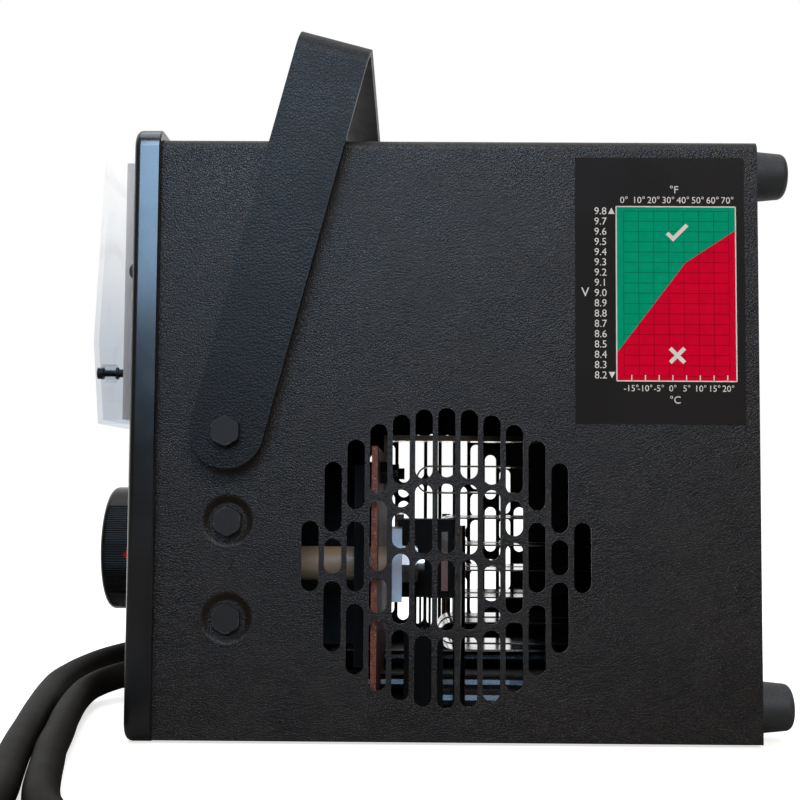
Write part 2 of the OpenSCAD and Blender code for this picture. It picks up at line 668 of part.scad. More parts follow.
// Bright clamping plates on the rear ends of the tie rods
module clamp_plates() color([0.75, 0.75, 0.77])
    for (s = [-1, 1]) difference() {
        translate([tube_end, s * rod_y - 13, knob_z - 16]) cube([bracket_t, 26, 32]);
        bar_x(tube_end - 1, bracket_t + 2, rod_d / 2 + 0.1, s * rod_y, knob_z);
    }

shunt_x = tube_end + 3;
shunt_y = -90;
shunt_l = 25.5;
// Two terminal blocks joined by four resistance strips, upright beside the near ribbons
module current_shunt() color([0.1, 0.1, 0.1]) {
    translate([shunt_x, shunt_y - 10, 56]) cube([shunt_l, 20, 35.5]);
    for (i = [0:3]) translate([shunt_x + 7.8 + i * 2.2, shunt_y - 6, 40 - eps])
        cube([1, 12, 16 + 2 * eps]);
    translate([shunt_x + 3, shunt_y - 10, z_floor]) cube([18, 20, 40 - z_floor]);
}

// ---------- load ribbons ----------

module hairpin(x, y, z) {
    r = ribbon_gap / 2;
    translate([x + r, y - ribbon_w / 2, z]) {
        for (side = [-1, 1]) translate([0, 0, side * r - ribbon_t / 2])
            cube([x_ribbon_end - x - r, ribbon_w, ribbon_t]);
        rotate([-90, 0, 0]) difference() {
            cylinder(h = ribbon_w, r = r + ribbon_t / 2);
            translate([0, 0, -1]) cylinder(h = ribbon_w + 2, r = r - ribbon_t / 2);
            translate([0, -2 * r, -1]) cube([4 * r, 4 * r, ribbon_w + 2]);
        }
    }
}

module load_ribbons() color([0.72, 0.72, 0.74])
    for (y = ribbon_rows, i = [0:ribbon_n - 1])
        hairpin(x_board + ribbon_starts[i], y, ribbon_top - ribbon_gap / 2 - i * ribbon_pitch);

// Insulated end bars that the ribbons are brazed to, and the slim posts that steady them
module ribbon_posts() color([0.7, 0.7, 0.72]) {
    for (y = ribbon_rows) {
        translate([x_ribbon_end, y - ribbon_w / 2, z_floor])
            cube([5, ribbon_w, strap_up_z + 4 - z_floor]);
    }
    for (s = [-1, 1]) translate([shunt_x + shunt_l + post_r, s * post_y, z_floor])
        cylinder(h = 89 - z_floor, r = post_r);
    translate([x_ribbon_end, -30, z_floor]) cube([5, 38 + lead_y, 16]);
}

stud_ys = [-95, 0, 95];
stud_z = 113;
stud_head = 3.5;
bus_strap_t = 3;          // thickness of the bus strap
// Black terminal bolts through the top of the board
module board_bolts() color([0.08, 0.08, 0.08]) for (y = stud_ys) translate([0, y, stud_z]) {
    back = x_board + board_t + (y == 0 ? bus_strap_t : 0);
    bar_x(x_board - stud_head, back + 8 + stud_head - x_board, 3);
    translate([x_board, 0, 0]) rotate([0, -90, 0]) hex(10, stud_head);
    translate([back, 0, 0]) rotate([0, 90, 0]) hex(10, 5);
}

strap_up_z = 130.5;
// Flat strap over the ribbons, from the board to the end bars, and the shunt's terminal strip
module bus_strap() color([0.78, 0.78, 0.8]) {
    translate([x_board + board_t, -12, strap_up_z])
        cube([x_ribbon_end - x_board - board_t, 24, bus_strap_t]);
    difference() {
        translate([x_board + board_t, -12, 104]) cube([bus_strap_t, 24, strap_up_z - 104 + eps]);
        bar_x(x_board, 8, 3.1, 0, stud_z);
    }
    translate([x_ribbon_end - 12, ribbon_rows[0] - ribbon_w / 2, strap_up_z])
        cube([12, ribbon_rows[1] - ribbon_rows[0] + ribbon_w, bus_strap_t]);
    // terminal strip and screw on the shunt's near face
    translate([shunt_x + 20, shunt_y - 11.2, 59]) cube([3, 1.2, 27]);
    bar_y(-1, 10 - shunt_y, 2, 2.4, shunt_x + 8, 70.3);
}

// Cables inside the case, from the bushings down to the base and on to the shunt and end bar
inner_d = 9;
inner_z = z_floor + inner_d / 2;
module inner_cables() color([0.07, 0.07, 0.07]) {
    turn_x = shunt_x + 78;
    for (s = [-1, 1]) {
        start = [[x_panel + panel_t + 2, s * lead_y, lead_z], [x_case + 8, s * lead_y, lead_z],
            [x_case + 26, s * lead_y, lead_z - 2], [x_case + 48, s * lead_y, inner_z + 1],
            [x_case + 66, s * lead_y, inner_z], [x_board, s * lead_y, inner_z],
            [shunt_x + 40, s * lead_y, inner_z]];
        near_end = [[turn_x - 22, -lead_y, inner_z], [turn_x - 10, -lead_y - 3.5, inner_z],
            [turn_x - 2, -lead_y - 11.5, inner_z], [turn_x + 1, (shunt_y - lead_y) / 2, inner_z],
            [turn_x - 2, shunt_y + 11.5, inner_z], [turn_x - 10, shunt_y + 3.5, inner_z],
            [turn_x - 22, shunt_y, inner_z],
            [shunt_x + 34, shunt_y, inner_z], [shunt_x + 21, shunt_y, inner_z]];
        far_end = [[x_ribbon_end - 20, lead_y, inner_z], [x_ribbon_end, lead_y, inner_z]];
        swept(concat(start, s < 0 ? near_end : far_end), inner_d / 2, 12);
    }
}

// ---------- meters ----------

barrel_r = 25.5;
barrel_l = 30;
barrel_end = 2;
stud_r = 3;
stud_at = [42, 88];                // side position and height of the terminal studs

module at_meter(s) translate([x_panel, s * meter_y, meter_z]) children();

// Moulded base: a low tray on the panel and a barrel through it for the movement
module meter_base(s) color([0.8, 0.78, 0.74]) at_meter(s) difference() {
    union() {
        translate([-base_t, -meter_w / 2 + cover_t + fit_gap, cover_t + fit_gap])
            cube([base_t, meter_w - 2 * (cover_t + fit_gap), meter_h - 2 * (cover_t + fit_gap) - 1.5]);
        bar_x(-eps, barrel_l, barrel_r, 0, needle_z);
    }
    bar_x(-base_t + 2, barrel_l + base_t - 2 - barrel_end, barrel_r - 2, 0, needle_z);
    bar_x(-base_t - 1, 4, spindle_r + 0.6, 0, needle_z);
    bar_x(-base_t - 1, 6, zero_r + 1, 0, zero_z);
    for (t = [-1, 1]) bar_x(-base_t - 1, base_t - 1, 1.85, t * boss_y, boss_z);
    for (t = [-1, 1]) bar_x(-4, 5, stud_r, t * stud_at[0], stud_at[1]);
}

// Two threaded studs behind each meter, with nuts that clamp it to the panel
module meter_studs() color([0.72, 0.57, 0.3]) for (s = [-1, 1], t = [-1, 1])
    at_meter(s) translate([0, t * stud_at[0], stud_at[1]]) {
        bar_x(-4, panel_t + 20, stud_r);
        translate([panel_t, 0, 0]) rotate([0, 90, 0]) hex(10, 5);
    }

dial_t = 0.8;
module meter_dial(s) color([0.93, 0.92, 0.88]) at_meter(s) difference() {
    translate([-base_t - dial_t, -meter_w / 2 + 13, 8]) cube([dial_t, meter_w - 26, meter_h - 18]);
    bar_x(-base_t - 2, 4, spindle_r + 0.6, 0, needle_z);
    bar_x(-base_t - 2, 4, zero_r + 1, 0, zero_z);
}

// Side outline of the clear cover, grown inwards by d
module cover_outline(d) polygon([[0, d], [-cover_front[0] + d, d], [-cover_front[1] + d, cover_apex],
    [-cover_front[2] + d, meter_h - cover_lean - d], [0, meter_h - d]]);

module meter_cover(s) color([0.85, 0.9, 0.95, 0.35]) at_meter(s) difference() {
    union() {
        difference() {
            translate([0, meter_w / 2, 0]) rotate([90, 0, 0]) linear_extrude(meter_w) cover_outline(0);
            translate([0, meter_w / 2 - cover_t, 0]) rotate([90, 0, 0])
                linear_extrude(meter_w - 2 * cover_t) union() {
                    cover_outline(cover_t);
                    translate([-1, cover_t]) square([2, meter_h - 2 * cover_t]);
                }
        }
        for (t = [-1, 1]) bar_x(-boss_seat - 0.4, boss_seat + 0.4 - boss_foot, 4, t * boss_y, boss_z);
    }
    for (t = [-1, 1]) bar_x(-cover_front[1] - 2, 40, 1.6, t * boss_y, boss_z);
    for (t = [-1, 1]) bar_x(-boss_seat - 5, 5, 2.9, t * boss_y, boss_z);
    bar_x(-cover_front[1] - 1, 8, zero_r + run_gap, 0, zero_z);
}

// Needle with its hub, spindle and counterweight, upright before it leans to zero
module meter_needle(s) color([0.75, 0.05, 0.05]) at_meter(s) translate([0, 0, needle_z])
    rotate([-needle_rest, 0, 0]) {
        translate([-needle_plane - needle_t / 2, 0, 0]) rotate([90, 0, 90]) linear_extrude(needle_t)
            polygon([[-1.1, 0], [-0.35, needle_l], [0.35, needle_l], [1.1, 0], [1.6, -15], [-1.6, -15]]);
        bar_x(-needle_plane - 1.2, 2.4, weight_r, 0, -12.5);
        bar_x(-needle_plane - 1.2, 2.4, 3.4);
        bar_x(-needle_plane, needle_plane + barrel_l - barrel_end - 3, spindle_r);
    }

// Zero adjuster in the cover, with a screwdriver slot and an eccentric pin
module meter_zero_screw(s) color([0.1, 0.1, 0.1]) at_meter(s) translate([0, 0, zero_z]) difference() {
    union() {
        bar_x(-cover_front[0] - 1.6, 5, zero_r);
        bar_x(-cover_front[0] + 3.2, 1.6, 1.2, 0, 1.4);
    }
    translate([-cover_front[0] - 3, -4, -0.5]) cube([2, 8, 1]);
}

// Magnet ring and core of each movement, with a bore for the needle's spindle
module meter_movements() color([0.6, 0.6, 0.6]) for (s = [-1, 1]) at_meter(s) {
    back = barrel_l - barrel_end;
    difference() {
        union() {
            difference() {
                bar_x(back - 14, 14, barrel_r - 2.5, 0, needle_z);
                bar_x(back - 15, 16, barrel_r - 9, 0, needle_z);
            }
            bar_x(back - 14, 14, 5, 0, needle_z);
            translate([back - 3, -barrel_r + 5, needle_z - 3]) cube([3, 2 * barrel_r - 10, 6]);
        }
        bar_x(back - 15, 16, spindle_r + run_gap, 0, needle_z);
    }
}

// Two screws per cover: a slotted head, a collar under the boss and a shank in the base
module meter_cover_screws() color([0.08, 0.08, 0.085]) for (s = [-1, 1], t = [-1, 1])
    at_meter(s) translate([0, t * boss_y, boss_z]) {
        difference() {
            bar_x(-boss_seat - 2.6, 2.6, 2.5);
            translate([-boss_seat - 3, -0.4, -3]) cube([1.4, 0.8, 6]);
        }
        bar_x(-boss_seat - eps, boss_seat - boss_foot + 2 * eps, 1.4);
        bar_x(-boss_foot, 0.9, 2.6);
        bar_x(-boss_foot + 0.8, boss_foot - 3.8, 1.75);
    }

// ---------- leads and clamps ----------

exit_x = -near_route[0][0];
bushing_front = -exit_x;
module cable_bushings() color([0.07, 0.07, 0.07]) for (s = [-1, 1])
    translate([bushing_front, s * lead_y, lead_z]) rotate([0, 90, 0]) difference() {
        union() {
            cylinder(h = x_panel - bushing_front - 2.5 + eps, r1 = cable_d / 2 + 1.2, r2 = cable_d / 2 + 2.4);
            translate([0, 0, x_panel - bushing_front - 2.5]) cylinder(h = 2.5, r = cable_d / 2 + 3.6);
            translate([0, 0, x_panel - bushing_front - eps]) cylinder(h = panel_t + 1, r = cable_d / 2 + 2.4);
            translate([0, 0, x_panel - bushing_front + panel_t]) cylinder(h = 2, r = cable_d / 2 + 3.6);
        }
        translate([0, 0, -1]) cylinder(h = 60, r = cable_d / 2);
    }

coil_h = 2 * cable_d;
function coil_at(c) = [c[0] + coil_r * cos(coil_end), c[1] + coil_r * sin(coil_end)];
leave = [sin(coil_end), -cos(coil_end)];
tail_drop = coil_h - cable_d / 2 - clamp_z - clamp_t / 2;
tail_in = 27;          // length of lead inside the clamp
function tail_route(c) = [for (t = [4, 0.25 * tail_l, 0.5 * tail_l, 0.75 * tail_l, tail_l, tail_l + tail_in])
    [each coil_at(c) + t * leave, coil_h - cable_d / 2 - tail_drop * min(1, t / (0.75 * tail_l))]];
module lead(route, c) color([0.06, 0.06, 0.06]) {
    swept(route, cable_d / 2);
    swept(tail_route(c), cable_d / 2);
}
module coil(c) color([0.06, 0.06, 0.06]) translate([c[0], c[1], 0]) rotate_extrude($fn = 96)
    translate([coil_r - cable_d / 2, 0]) square([cable_d, coil_h]);

// Clamp frame: +X runs from the cable to the jaws, +Z is up, and the moving half is on +Y
module at_clamp(c) translate([each coil_at(c) + tail_l * leave, clamp_z])
    rotate(coil_end - 90) translate([0, cable_side, 0]) children();

pin_x = 0.56 * clamp_l;
pin_r = 3;
cheek_t = 2;
handle_y = 34;         // outer edge of a handle at its back end
cable_side = handle_y - cheek_t - cable_d / 2;
nest = cheek_t + 0.4;  // step in from the fixed half's faces to the moving half's
edge = [[0, -handle_y], [28, -handle_y], [pin_x - 14, -14], [pin_x + 16, -14], [clamp_l - 16, -13],
    [clamp_l, -8]];

// One half of a clamp: two pressed cheeks joined by a web along their outer edge
module clamp_half(level, h) {
    for (z = [level, level + h - cheek_t]) translate([0, 0, z]) linear_extrude(cheek_t) {
        polygon(concat(edge, [[clamp_l, -1], [pin_x + 20, -1], [pin_x, 8], [pin_x - 16, -5],
            [26, -handle_y + 10], [0, -handle_y + 10]]));
        translate([pin_x, 0]) circle(10);
    }
    translate([0, 0, level]) linear_extrude(h) polygon(concat(edge,
        [for (i = [len(edge) - 1:-1:0]) edge[i] + [0, cheek_t]]));
}

module clamp_bore() translate([pin_x, 0, -5]) cylinder(h = clamp_t + 20, r = pin_r + run_gap);

module fixed_half() {
    difference() {
        union() {
            clamp_half(0, clamp_t);
            for (i = [0:3]) translate([clamp_l - 6 - 7 * i, -6, 1]) cube([3, 5.4, clamp_t - 2]);
        }
        clamp_bore();
    }
    // crimp round the end of the lead
    translate([18, -cable_side, clamp_t / 2]) rotate([0, 90, 0]) difference() {
        cylinder(h = 12, r = cable_d / 2 + 1.4);
        translate([0, 0, -1]) cylinder(h = 14, r = cable_d / 2);
    }
}

module moving_half() difference() {
    union() {
        mirror([0, 1, 0]) clamp_half(nest, clamp_t - 2 * nest);
        for (i = [0:3]) translate([clamp_l - 9.5 - 7 * i, 0.6, nest + 1])
            cube([3, 5.4, clamp_t - 2 * nest - 2]);
    }
    clamp_bore();
}

grip_l = 0.4 * clamp_l;
grip_t = 2;
// Moulded grip round a handle, open along the handle's inner side
module grip_shape(level, h) {
    slope = (handle_y - 14) / (pin_x - 42);
    bend = grip_l - 28;
    difference() {
        translate([-4, 0, level - grip_t]) linear_extrude(h + 2 * grip_t)
            polygon([[0, -handle_y - grip_t], [32, -handle_y - grip_t],
                [grip_l, -handle_y - grip_t + slope * bend], [grip_l, -handle_y + 12 + slope * bend],
                [32, -handle_y + 12], [0, -handle_y + 12]]);
        translate([-5, 0, level]) linear_extrude(h)
            polygon([[0, -handle_y], [33, -handle_y], [grip_l + 8, -handle_y + slope * (grip_l - 25)],
                [grip_l + 8, 0], [0, 0]]);
    }
}

module clamp_frames() color([0.7, 0.62, 0.45]) for (c = coil_centres) at_clamp(c) fixed_half();
module clamp_pins() color([0.6, 0.6, 0.6]) for (c = coil_centres) at_clamp(c) translate([pin_x, 0, 0]) {
    translate([0, 0, -1.6]) cylinder(h = clamp_t + 3.2, r = pin_r);
    for (z = [-1.6, clamp_t]) translate([0, 0, z]) cylinder(h = 1.6, r = 4.6);
}
module clamp_springs() color([0.6, 0.6, 0.6]) for (c = coil_centres) at_clamp(c)
    translate([pin_x, 0, nest + cheek_t + 0.3]) difference() {
        cylinder(h = clamp_t - 2 * (nest + cheek_t) - 0.6, r = 5.6);
        translate([0, 0, -1]) cylinder(h = clamp_t, r = pin_r + 0.1);
    }

module fixed_grip(c) at_clamp(c) grip_shape(0, clamp_t);
module moving_grip(c) at_clamp(c) mirror([0, 1, 0]) grip_shape(nest, clamp_t - 2 * nest);

module red_fixed_grip() color([0.75, 0.05, 0.05]) fixed_grip(coil_centres[0]);
module black_fixed_grip() color([0.07, 0.07, 0.07]) fixed_grip(coil_centres[1]);
module red_jaw() color([0.7, 0.62, 0.45]) at_clamp(coil_centres[0]) moving_half();
module black_jaw() color([0.7, 0.62, 0.45]) at_clamp(coil_centres[1]) moving_half();
module red_grip() color([0.75, 0.05, 0.05]) moving_grip(coil_centres[0]);
module black_grip() color([0.07, 0.07, 0.07]) moving_grip(coil_centres[1]);

case_wrap();
base_pan();
base_screws();
front_bezel();
front_panel();
panel_screws();
handle_strap();
pivot_bolts();
pivot_spacers();
side_bolts();
bolt_nuts();
rubber_feet();
foot_screws();
chart_label();
load_knob();
knob_inlay();
load_screw();
screw_bushing();
pressure_plate();
pile_front_plate();
carbon_plates();
pile_rear_plate();
tie_rods();
tie_rod_nuts();
insulating_tubes();
fibre_board();
clamp_plates();
current_shunt();
load_ribbons();
ribbon_posts();
bus_strap();
board_bolts();
inner_cables();
meter_base(1);  // volt_base
meter_dial(1);  // volt_dial
meter_cover(1);  // volt_cover
meter_needle(1);  // volt_needle
meter_zero_screw(1);  // volt_zero_screw
meter_base(-1);  // amp_base
meter_dial(-1);  // amp_dial
meter_cover(-1);  // amp_cover
meter_needle(-1);  // amp_needle
meter_zero_screw(-1);  // amp_zero_screw
meter_studs();
meter_movements();
meter_cover_screws();
cable_bushings();
lead(near_route, coil_centres[0]);  // near_lead
lead(far_route, coil_centres[1]);  // far_lead
coil(coil_centres[0]);  // near_coil
coil(coil_centres[1]);  // far_coil
clamp_frames();
clamp_pins();
clamp_springs();
red_fixed_grip();
black_fixed_grip();
red_jaw();
black_jaw();
red_grip();
black_grip();
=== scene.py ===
"""Looks of a carbon-pile battery load tester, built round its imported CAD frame."""

import json
import math

import bpy
from bpy.props import FloatProperty, FloatVectorProperty, IntProperty, PointerProperty
from mathutils import Matrix, Vector


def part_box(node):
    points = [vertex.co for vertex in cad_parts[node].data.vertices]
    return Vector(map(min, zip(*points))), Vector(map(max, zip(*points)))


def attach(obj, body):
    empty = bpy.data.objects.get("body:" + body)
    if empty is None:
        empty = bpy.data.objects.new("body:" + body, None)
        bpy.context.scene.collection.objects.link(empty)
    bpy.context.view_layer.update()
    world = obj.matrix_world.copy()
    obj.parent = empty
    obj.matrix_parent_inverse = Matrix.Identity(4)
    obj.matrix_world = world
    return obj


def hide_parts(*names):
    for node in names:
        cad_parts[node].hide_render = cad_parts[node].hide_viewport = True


bl_info = {
    "name": "Battery Load Tester",
    "version": (1, 0, 0),
    "blender": (4, 5, 0),
    "location": "View3D > Sidebar > Tester",
    "description": "Finishes, printed scales, leads and stage of a carbon-pile load tester",
    "category": "Object",
}

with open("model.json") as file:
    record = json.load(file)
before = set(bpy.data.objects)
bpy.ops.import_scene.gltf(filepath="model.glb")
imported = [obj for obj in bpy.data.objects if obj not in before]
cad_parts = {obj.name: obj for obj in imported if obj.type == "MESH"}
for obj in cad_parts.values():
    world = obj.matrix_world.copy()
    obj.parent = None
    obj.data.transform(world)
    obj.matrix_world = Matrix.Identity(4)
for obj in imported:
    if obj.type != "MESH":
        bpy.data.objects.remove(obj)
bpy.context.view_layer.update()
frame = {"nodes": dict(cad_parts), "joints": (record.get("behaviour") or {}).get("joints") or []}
NODES = frame["nodes"]
mm = 0.001

# ---------- places taken from the frame ----------

BEZEL_LOW, BEZEL_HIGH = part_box("front_bezel")
CASE_LOW, CASE_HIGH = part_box("case_wrap")
PANEL_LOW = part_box("front_panel")[0]
LABEL_LOW, LABEL_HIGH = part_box("chart_label")
KNOB_LOW, KNOB_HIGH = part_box("load_knob")
INLAY_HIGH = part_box("knob_inlay")[1]
KNOB_MIDDLE = (KNOB_HIGH.z + KNOB_LOW.z) / 2
KNOB_RADIUS = (KNOB_HIGH.z - KNOB_LOW.z) / 2

# ---------- leads, in millimetres ----------

LEAD_D = 12.5
NEAR_ROUTE = [
    (-127, -45, 14), (-135.4, -46, 13.2), (-142.3, -48.8, 12.1), (-148.2, -53.3, 10.8),
    (-152.7, -59.3, 9.5), (-155.5, -66.1, 8.3), (-156.5, -73.5, 7.4), (-156.4, -83, 6.6),
    (-155.4, -94, 6.3), (-153.6, -107, 6.3), (-151.3, -121, 6.3), (-148.4, -138, 6.3),
    (-144.6, -157, 6.3), (-141, -177, 6.3), (-137.2, -198, 6.3), (-132.4, -219, 6.3),
    (-127.6, -240, 6.3), (-122.6, -260, 6.3), (-116.6, -279, 6.3), (-108, -296.5, 6.3),
    (-96, -311, 6.3), (-80, -323, 6.3), (-60, -332.5, 6.3), (-36, -340, 6.3),
    (-10, -347, 6.3), (18, -353.5, 6.3), (48, -359.3, 6.3), (78, -362.3, 6.3)]
FAR_ROUTE = [
    (-127, 45, 14), (-133, 45, 13.8), (-142, 44, 13.2), (-151, 40.7, 12.3),
    (-159.2, 35.3, 11.2), (-166.2, 27.8, 10), (-171.8, 18.5, 8.8), (-175.7, 7.8, 7.7),
    (-178.2, -4, 6.9), (-179.2, -17, 6.4), (-179, -31, 6.3), (-177.7, -46, 6.3),
    (-175.5, -62, 6.3), (-172.8, -79, 6.3), (-169.6, -97, 6.3), (-166.2, -116, 6.3),
    (-162.4, -136, 6.3), (-158.3, -157, 6.3), (-154.4, -178, 6.3), (-150.2, -199, 6.3),
    (-145.6, -220, 6.3), (-140.8, -241, 6.3), (-136.2, -261, 6.3), (-132.6, -280, 6.3),
    (-129.8, -297, 6.3), (-127.6, -313, 6.3), (-126, -329, 6.3), (-123.6, -342.5, 6.3),
    (-116.6, -352.9, 6.3), (-106.2, -359.9, 6.3), (-94, -362.3, 6.3)]
NEAR_COIL = (78, -431)
FAR_COIL = (-94, -431)
COIL_R = 68.75
COIL_START = 90            # angle at which the lead joins its coil
COIL_CLIMB = (-150, -235)  # angles between which it climbs onto its first turn
COIL_END = -430            # angle at which it leaves for the clamp
COIL_STEP = 4
TAIL_L = 70
TAIL_IN = 27               # length that lies inside the clamp
TAIL_STEPS = 24
TAIL_FALL = 0.75           # share of the tail over which it comes down
CLAMP_MID_Z = 14


def ease(share):
    """A share from 0 to 1, kept within them and eased at both ends."""
    share = min(1, max(0, share))
    return 3 * share ** 2 - 2 * share ** 3


def smooth_path(points, step=4.0):
    """Points along a Catmull-Rom curve through the given ones, about a step apart."""
    given = [Vector(p) for p in points]
    ends = [2 * given[0] - given[1], *given, 2 * given[-1] - given[-2]]
    path = []
    for a, b, c, d in zip(ends, ends[1:], ends[2:], ends[3:]):
        count = max(1, round((c - b).length / step))
        for i in range(count):
            t = i / count
            path.append(0.5 * (2 * b + (c - a) * t + (2 * a - 5 * b + 4 * c - d) * t * t
                               + (3 * b - a - 3 * c + d) * t ** 3))
    return [*path, given[-1]]


def on_coil(centre, angle, height):
    """A point of a coil's middle line, at an angle in degrees."""
    turn = math.radians(angle)
    return Vector((centre[0] + COIL_R * math.cos(turn), centre[1] + COIL_R * math.sin(turn),
                   height))


def coil_path(centre):
    """Two clockwise turns of the put-away lead, the second on top of the first."""
    path = []
    for angle in range(COIL_START - COIL_STEP, COIL_END - 1, -COIL_STEP):
        climb = ease((COIL_CLIMB[0] - angle) / (COIL_CLIMB[0] - COIL_CLIMB[1]))
        path.append(on_coil(centre, angle, LEAD_D / 2 + LEAD_D * climb))
    return path


def tail_path(centre):
    """The straight stretch from the coil into the battery clamp."""
    turn = math.radians(COIL_END)
    start = on_coil(centre, COIL_END, 0)
    leave = Vector((math.sin(turn), -math.cos(turn), 0))
    top = 1.5 * LEAD_D
    path = []
    for i in range(1, TAIL_STEPS + 1):
        along = i * (TAIL_L + TAIL_IN) / TAIL_STEPS
        fall = ease(along / (TAIL_FALL * TAIL_L))
        path.append(start + along * leave + Vector((0, 0, top + (CLAMP_MID_Z - top) * fall)))
    return path


def lead_path(route, centre):
    """The whole centreline of a lead, in metres."""
    path = smooth_path(route) + coil_path(centre) + tail_path(centre)
    return [p * mm for p in path]


# ---------- settings ----------


class CaseSettings(bpy.types.PropertyGroup):
    paint: FloatVectorProperty(
        name="Case Paint", description="Colour of the grained paint on the case",
        subtype="COLOR", default=(0.0162, 0.013, 0.0104), min=0, max=1)
    grain_size: FloatProperty(
        name="Grain Size", description="Size of one cell of the leather grain",
        default=0.00095, unit="LENGTH")
    strap_paint: FloatVectorProperty(
        name="Strap Paint", description="Colour of the handle strap",
        subtype="COLOR", default=(0.0085, 0.0075, 0.0065), min=0, max=1)
    moulding: FloatVectorProperty(
        name="Bezel", description="Colour of the moulded bezel",
        subtype="COLOR", default=(0.006, 0.0062, 0.0066), min=0, max=1)
    edge_radius: FloatProperty(
        name="Bezel Edge", description="Radius of the bezel's front edge",
        default=0.003, unit="LENGTH")


class LabelSettings(bpy.types.PropertyGroup):
    upper: FloatVectorProperty(
        name="Upper Field", description="Colour of the chart's upper field",
        subtype="COLOR", default=(0.0, 0.39, 0.22), min=0, max=1)
    lower: FloatVectorProperty(
        name="Lower Field", description="Colour of the chart's lower field",
        subtype="COLOR", default=(0.78, 0.0, 0.034), min=0, max=1)
    ink: FloatVectorProperty(
        name="Ink", description="Colour of the figures and frame",
        subtype="COLOR", default=(0.86, 0.87, 0.88), min=0, max=1)
    figure: FloatProperty(
        name="Figure Height", description="Height of the chart's figures",
        default=0.0031, unit="LENGTH")


class MeterSettings(bpy.types.PropertyGroup):
    card: FloatVectorProperty(
        name="Dial Card", description="Colour of the meters' dials",
        subtype="COLOR", default=(0.78, 0.77, 0.72), min=0, max=1)
    scale_radius: FloatProperty(
        name="Scale Radius", description="Radius of a dial's scale round the needle's axis",
        default=0.064, unit="LENGTH")
    sweep: FloatProperty(
        name="Sweep", description="Angle swept by a needle from end to end",
        default=math.radians(90), subtype="ANGLE")
    figure: FloatProperty(
        name="Figure Height", description="Height of a dial's figures",
        default=0.0068, unit="LENGTH")


class LeadSettings(bpy.types.PropertyGroup):
    jacket: FloatVectorProperty(
        name="Jacket", description="Colour of the leads' rubber jacket",
        subtype="COLOR", default=(0.009, 0.0075, 0.006), min=0, max=1)
    sides: IntProperty(
        name="Sides", description="Resolution of a lead's round section", default=7)


class StageSettings(bpy.types.PropertyGroup):
    floor: FloatVectorProperty(
        name="Floor", description="Colour of the floor",
        subtype="COLOR", default=(0.8, 0.8, 0.8), min=0, max=1)
    front_light: FloatProperty(
        name="Front Light", description="Power of the soft light behind the camera",
        default=31, unit="POWER")
    top_light: FloatProperty(
        name="Top Light", description="Power of the soft light overhead",
        default=18, unit="POWER")
    near_light: FloatProperty(
        name="Near Light", description="Power of the small blue light above the camera",
        default=5, unit="POWER")
    sheen_light: FloatProperty(
        name="Sheen Light", description="Power of the blue light that glossy faces mirror",
        default=62, unit="POWER")


SETTINGS = {
    "case": CaseSettings, "label": LabelSettings, "meters": MeterSettings,
    "leads": LeadSettings, "stage": StageSettings,
}


def settings(name):
    """One group of the scene's settings."""
    return getattr(bpy.context.scene, "tester_" + name)


# ---------- mesh helpers ----------


def mesh_piece(name, points, faces, material, body="tester", smooth=True):
    """A mesh in the frame's own place, with its material, riding on a body."""
    mesh = bpy.data.meshes.new(name)
    mesh.from_pydata([tuple(p) for p in points], [], faces)
    mesh.validate()
    mesh.materials.append(material)
    for polygon in mesh.polygons:
        polygon.use_smooth = smooth
    mesh.update()
    piece = bpy.data.objects.new(name, mesh)
    bpy.context.scene.collection.objects.link(piece)
    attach(piece, body)
    return piece


def loft(rings, loop=False, caps=False):
    """Points and faces of a skin over rings of equal count. A loop closes on its first ring."""
    count = len(rings[0])
    points = [p for ring in rings for p in ring]
    faces = []
    last = len(rings) if loop else len(rings) - 1
    for i in range(last):
        a, b = i * count, (i + 1) % len(rings) * count
        faces += [(a + k, a + (k + 1) % count, b + (k + 1) % count, b + k) for k in range(count)]
    if caps:
        faces.append(tuple(range(count - 1, -1, -1)))
        faces.append(tuple(range((len(rings) - 1) * count, len(rings) * count)))
    return points, faces


CORNER_STEPS = 8
SMALLEST_RADIUS = 0.0002


def rounded_ring(x, half, low, high, radius):
    """Rounded rectangle across the Y and Z axes at x."""
    radius = max(radius, SMALLEST_RADIUS)
    corners = ((half - radius, high - radius, 0), (-half + radius, high - radius, 90),
               (-half + radius, low + radius, 180), (half - radius, low + radius, 270))
    ring = []
    for y, z, start in corners:
        for i in range(CORNER_STEPS + 1):
            a = math.radians(start + 90 * i / CORNER_STEPS)
            ring.append((x, y + radius * math.cos(a), z + radius * math.sin(a)))
    return ring


def sharpen(piece, degrees):
    """Keeps the creases of a smooth-shaded piece sharp."""
    piece.data.set_sharp_from_angle(angle=math.radians(degrees))
    return piece


def joined(skins):
    """Points and faces of several skins, as one."""
    points, faces = [], []
    for more, skin in skins:
        faces += [tuple(len(points) + k for k in face) for face in skin]
        points += more
    return points, faces


# ---------- shader helpers ----------


def put(tree, socket, value):
    """Links a socket to another one, or sets its value. A colour may leave out its alpha."""
    if isinstance(value, bpy.types.NodeSocket):
        tree.links.new(value, socket)
    elif socket.type == "RGBA" and len(value) == 3:
        socket.default_value = (*value, 1)
    else:
        socket.default_value = value


def add(tree, kind, options=None, **inputs):
    """Adds a node, with its options set and its named inputs set or linked."""
    node = tree.nodes.new(kind)
    for key, value in (options or {}).items():
        setattr(node, key, value)
    for key, value in inputs.items():
        put(tree, node.inputs[key.replace("_", " ")], value)
    return node


def calc(tree, operation, *values, clamp=False):
    """A Math node's result."""
    node = add(tree, "ShaderNodeMath", {"operation": operation, "use_clamp": clamp})
    for socket, value in zip(node.inputs, values):
        put(tree, socket, value)
    return node.outputs[0]


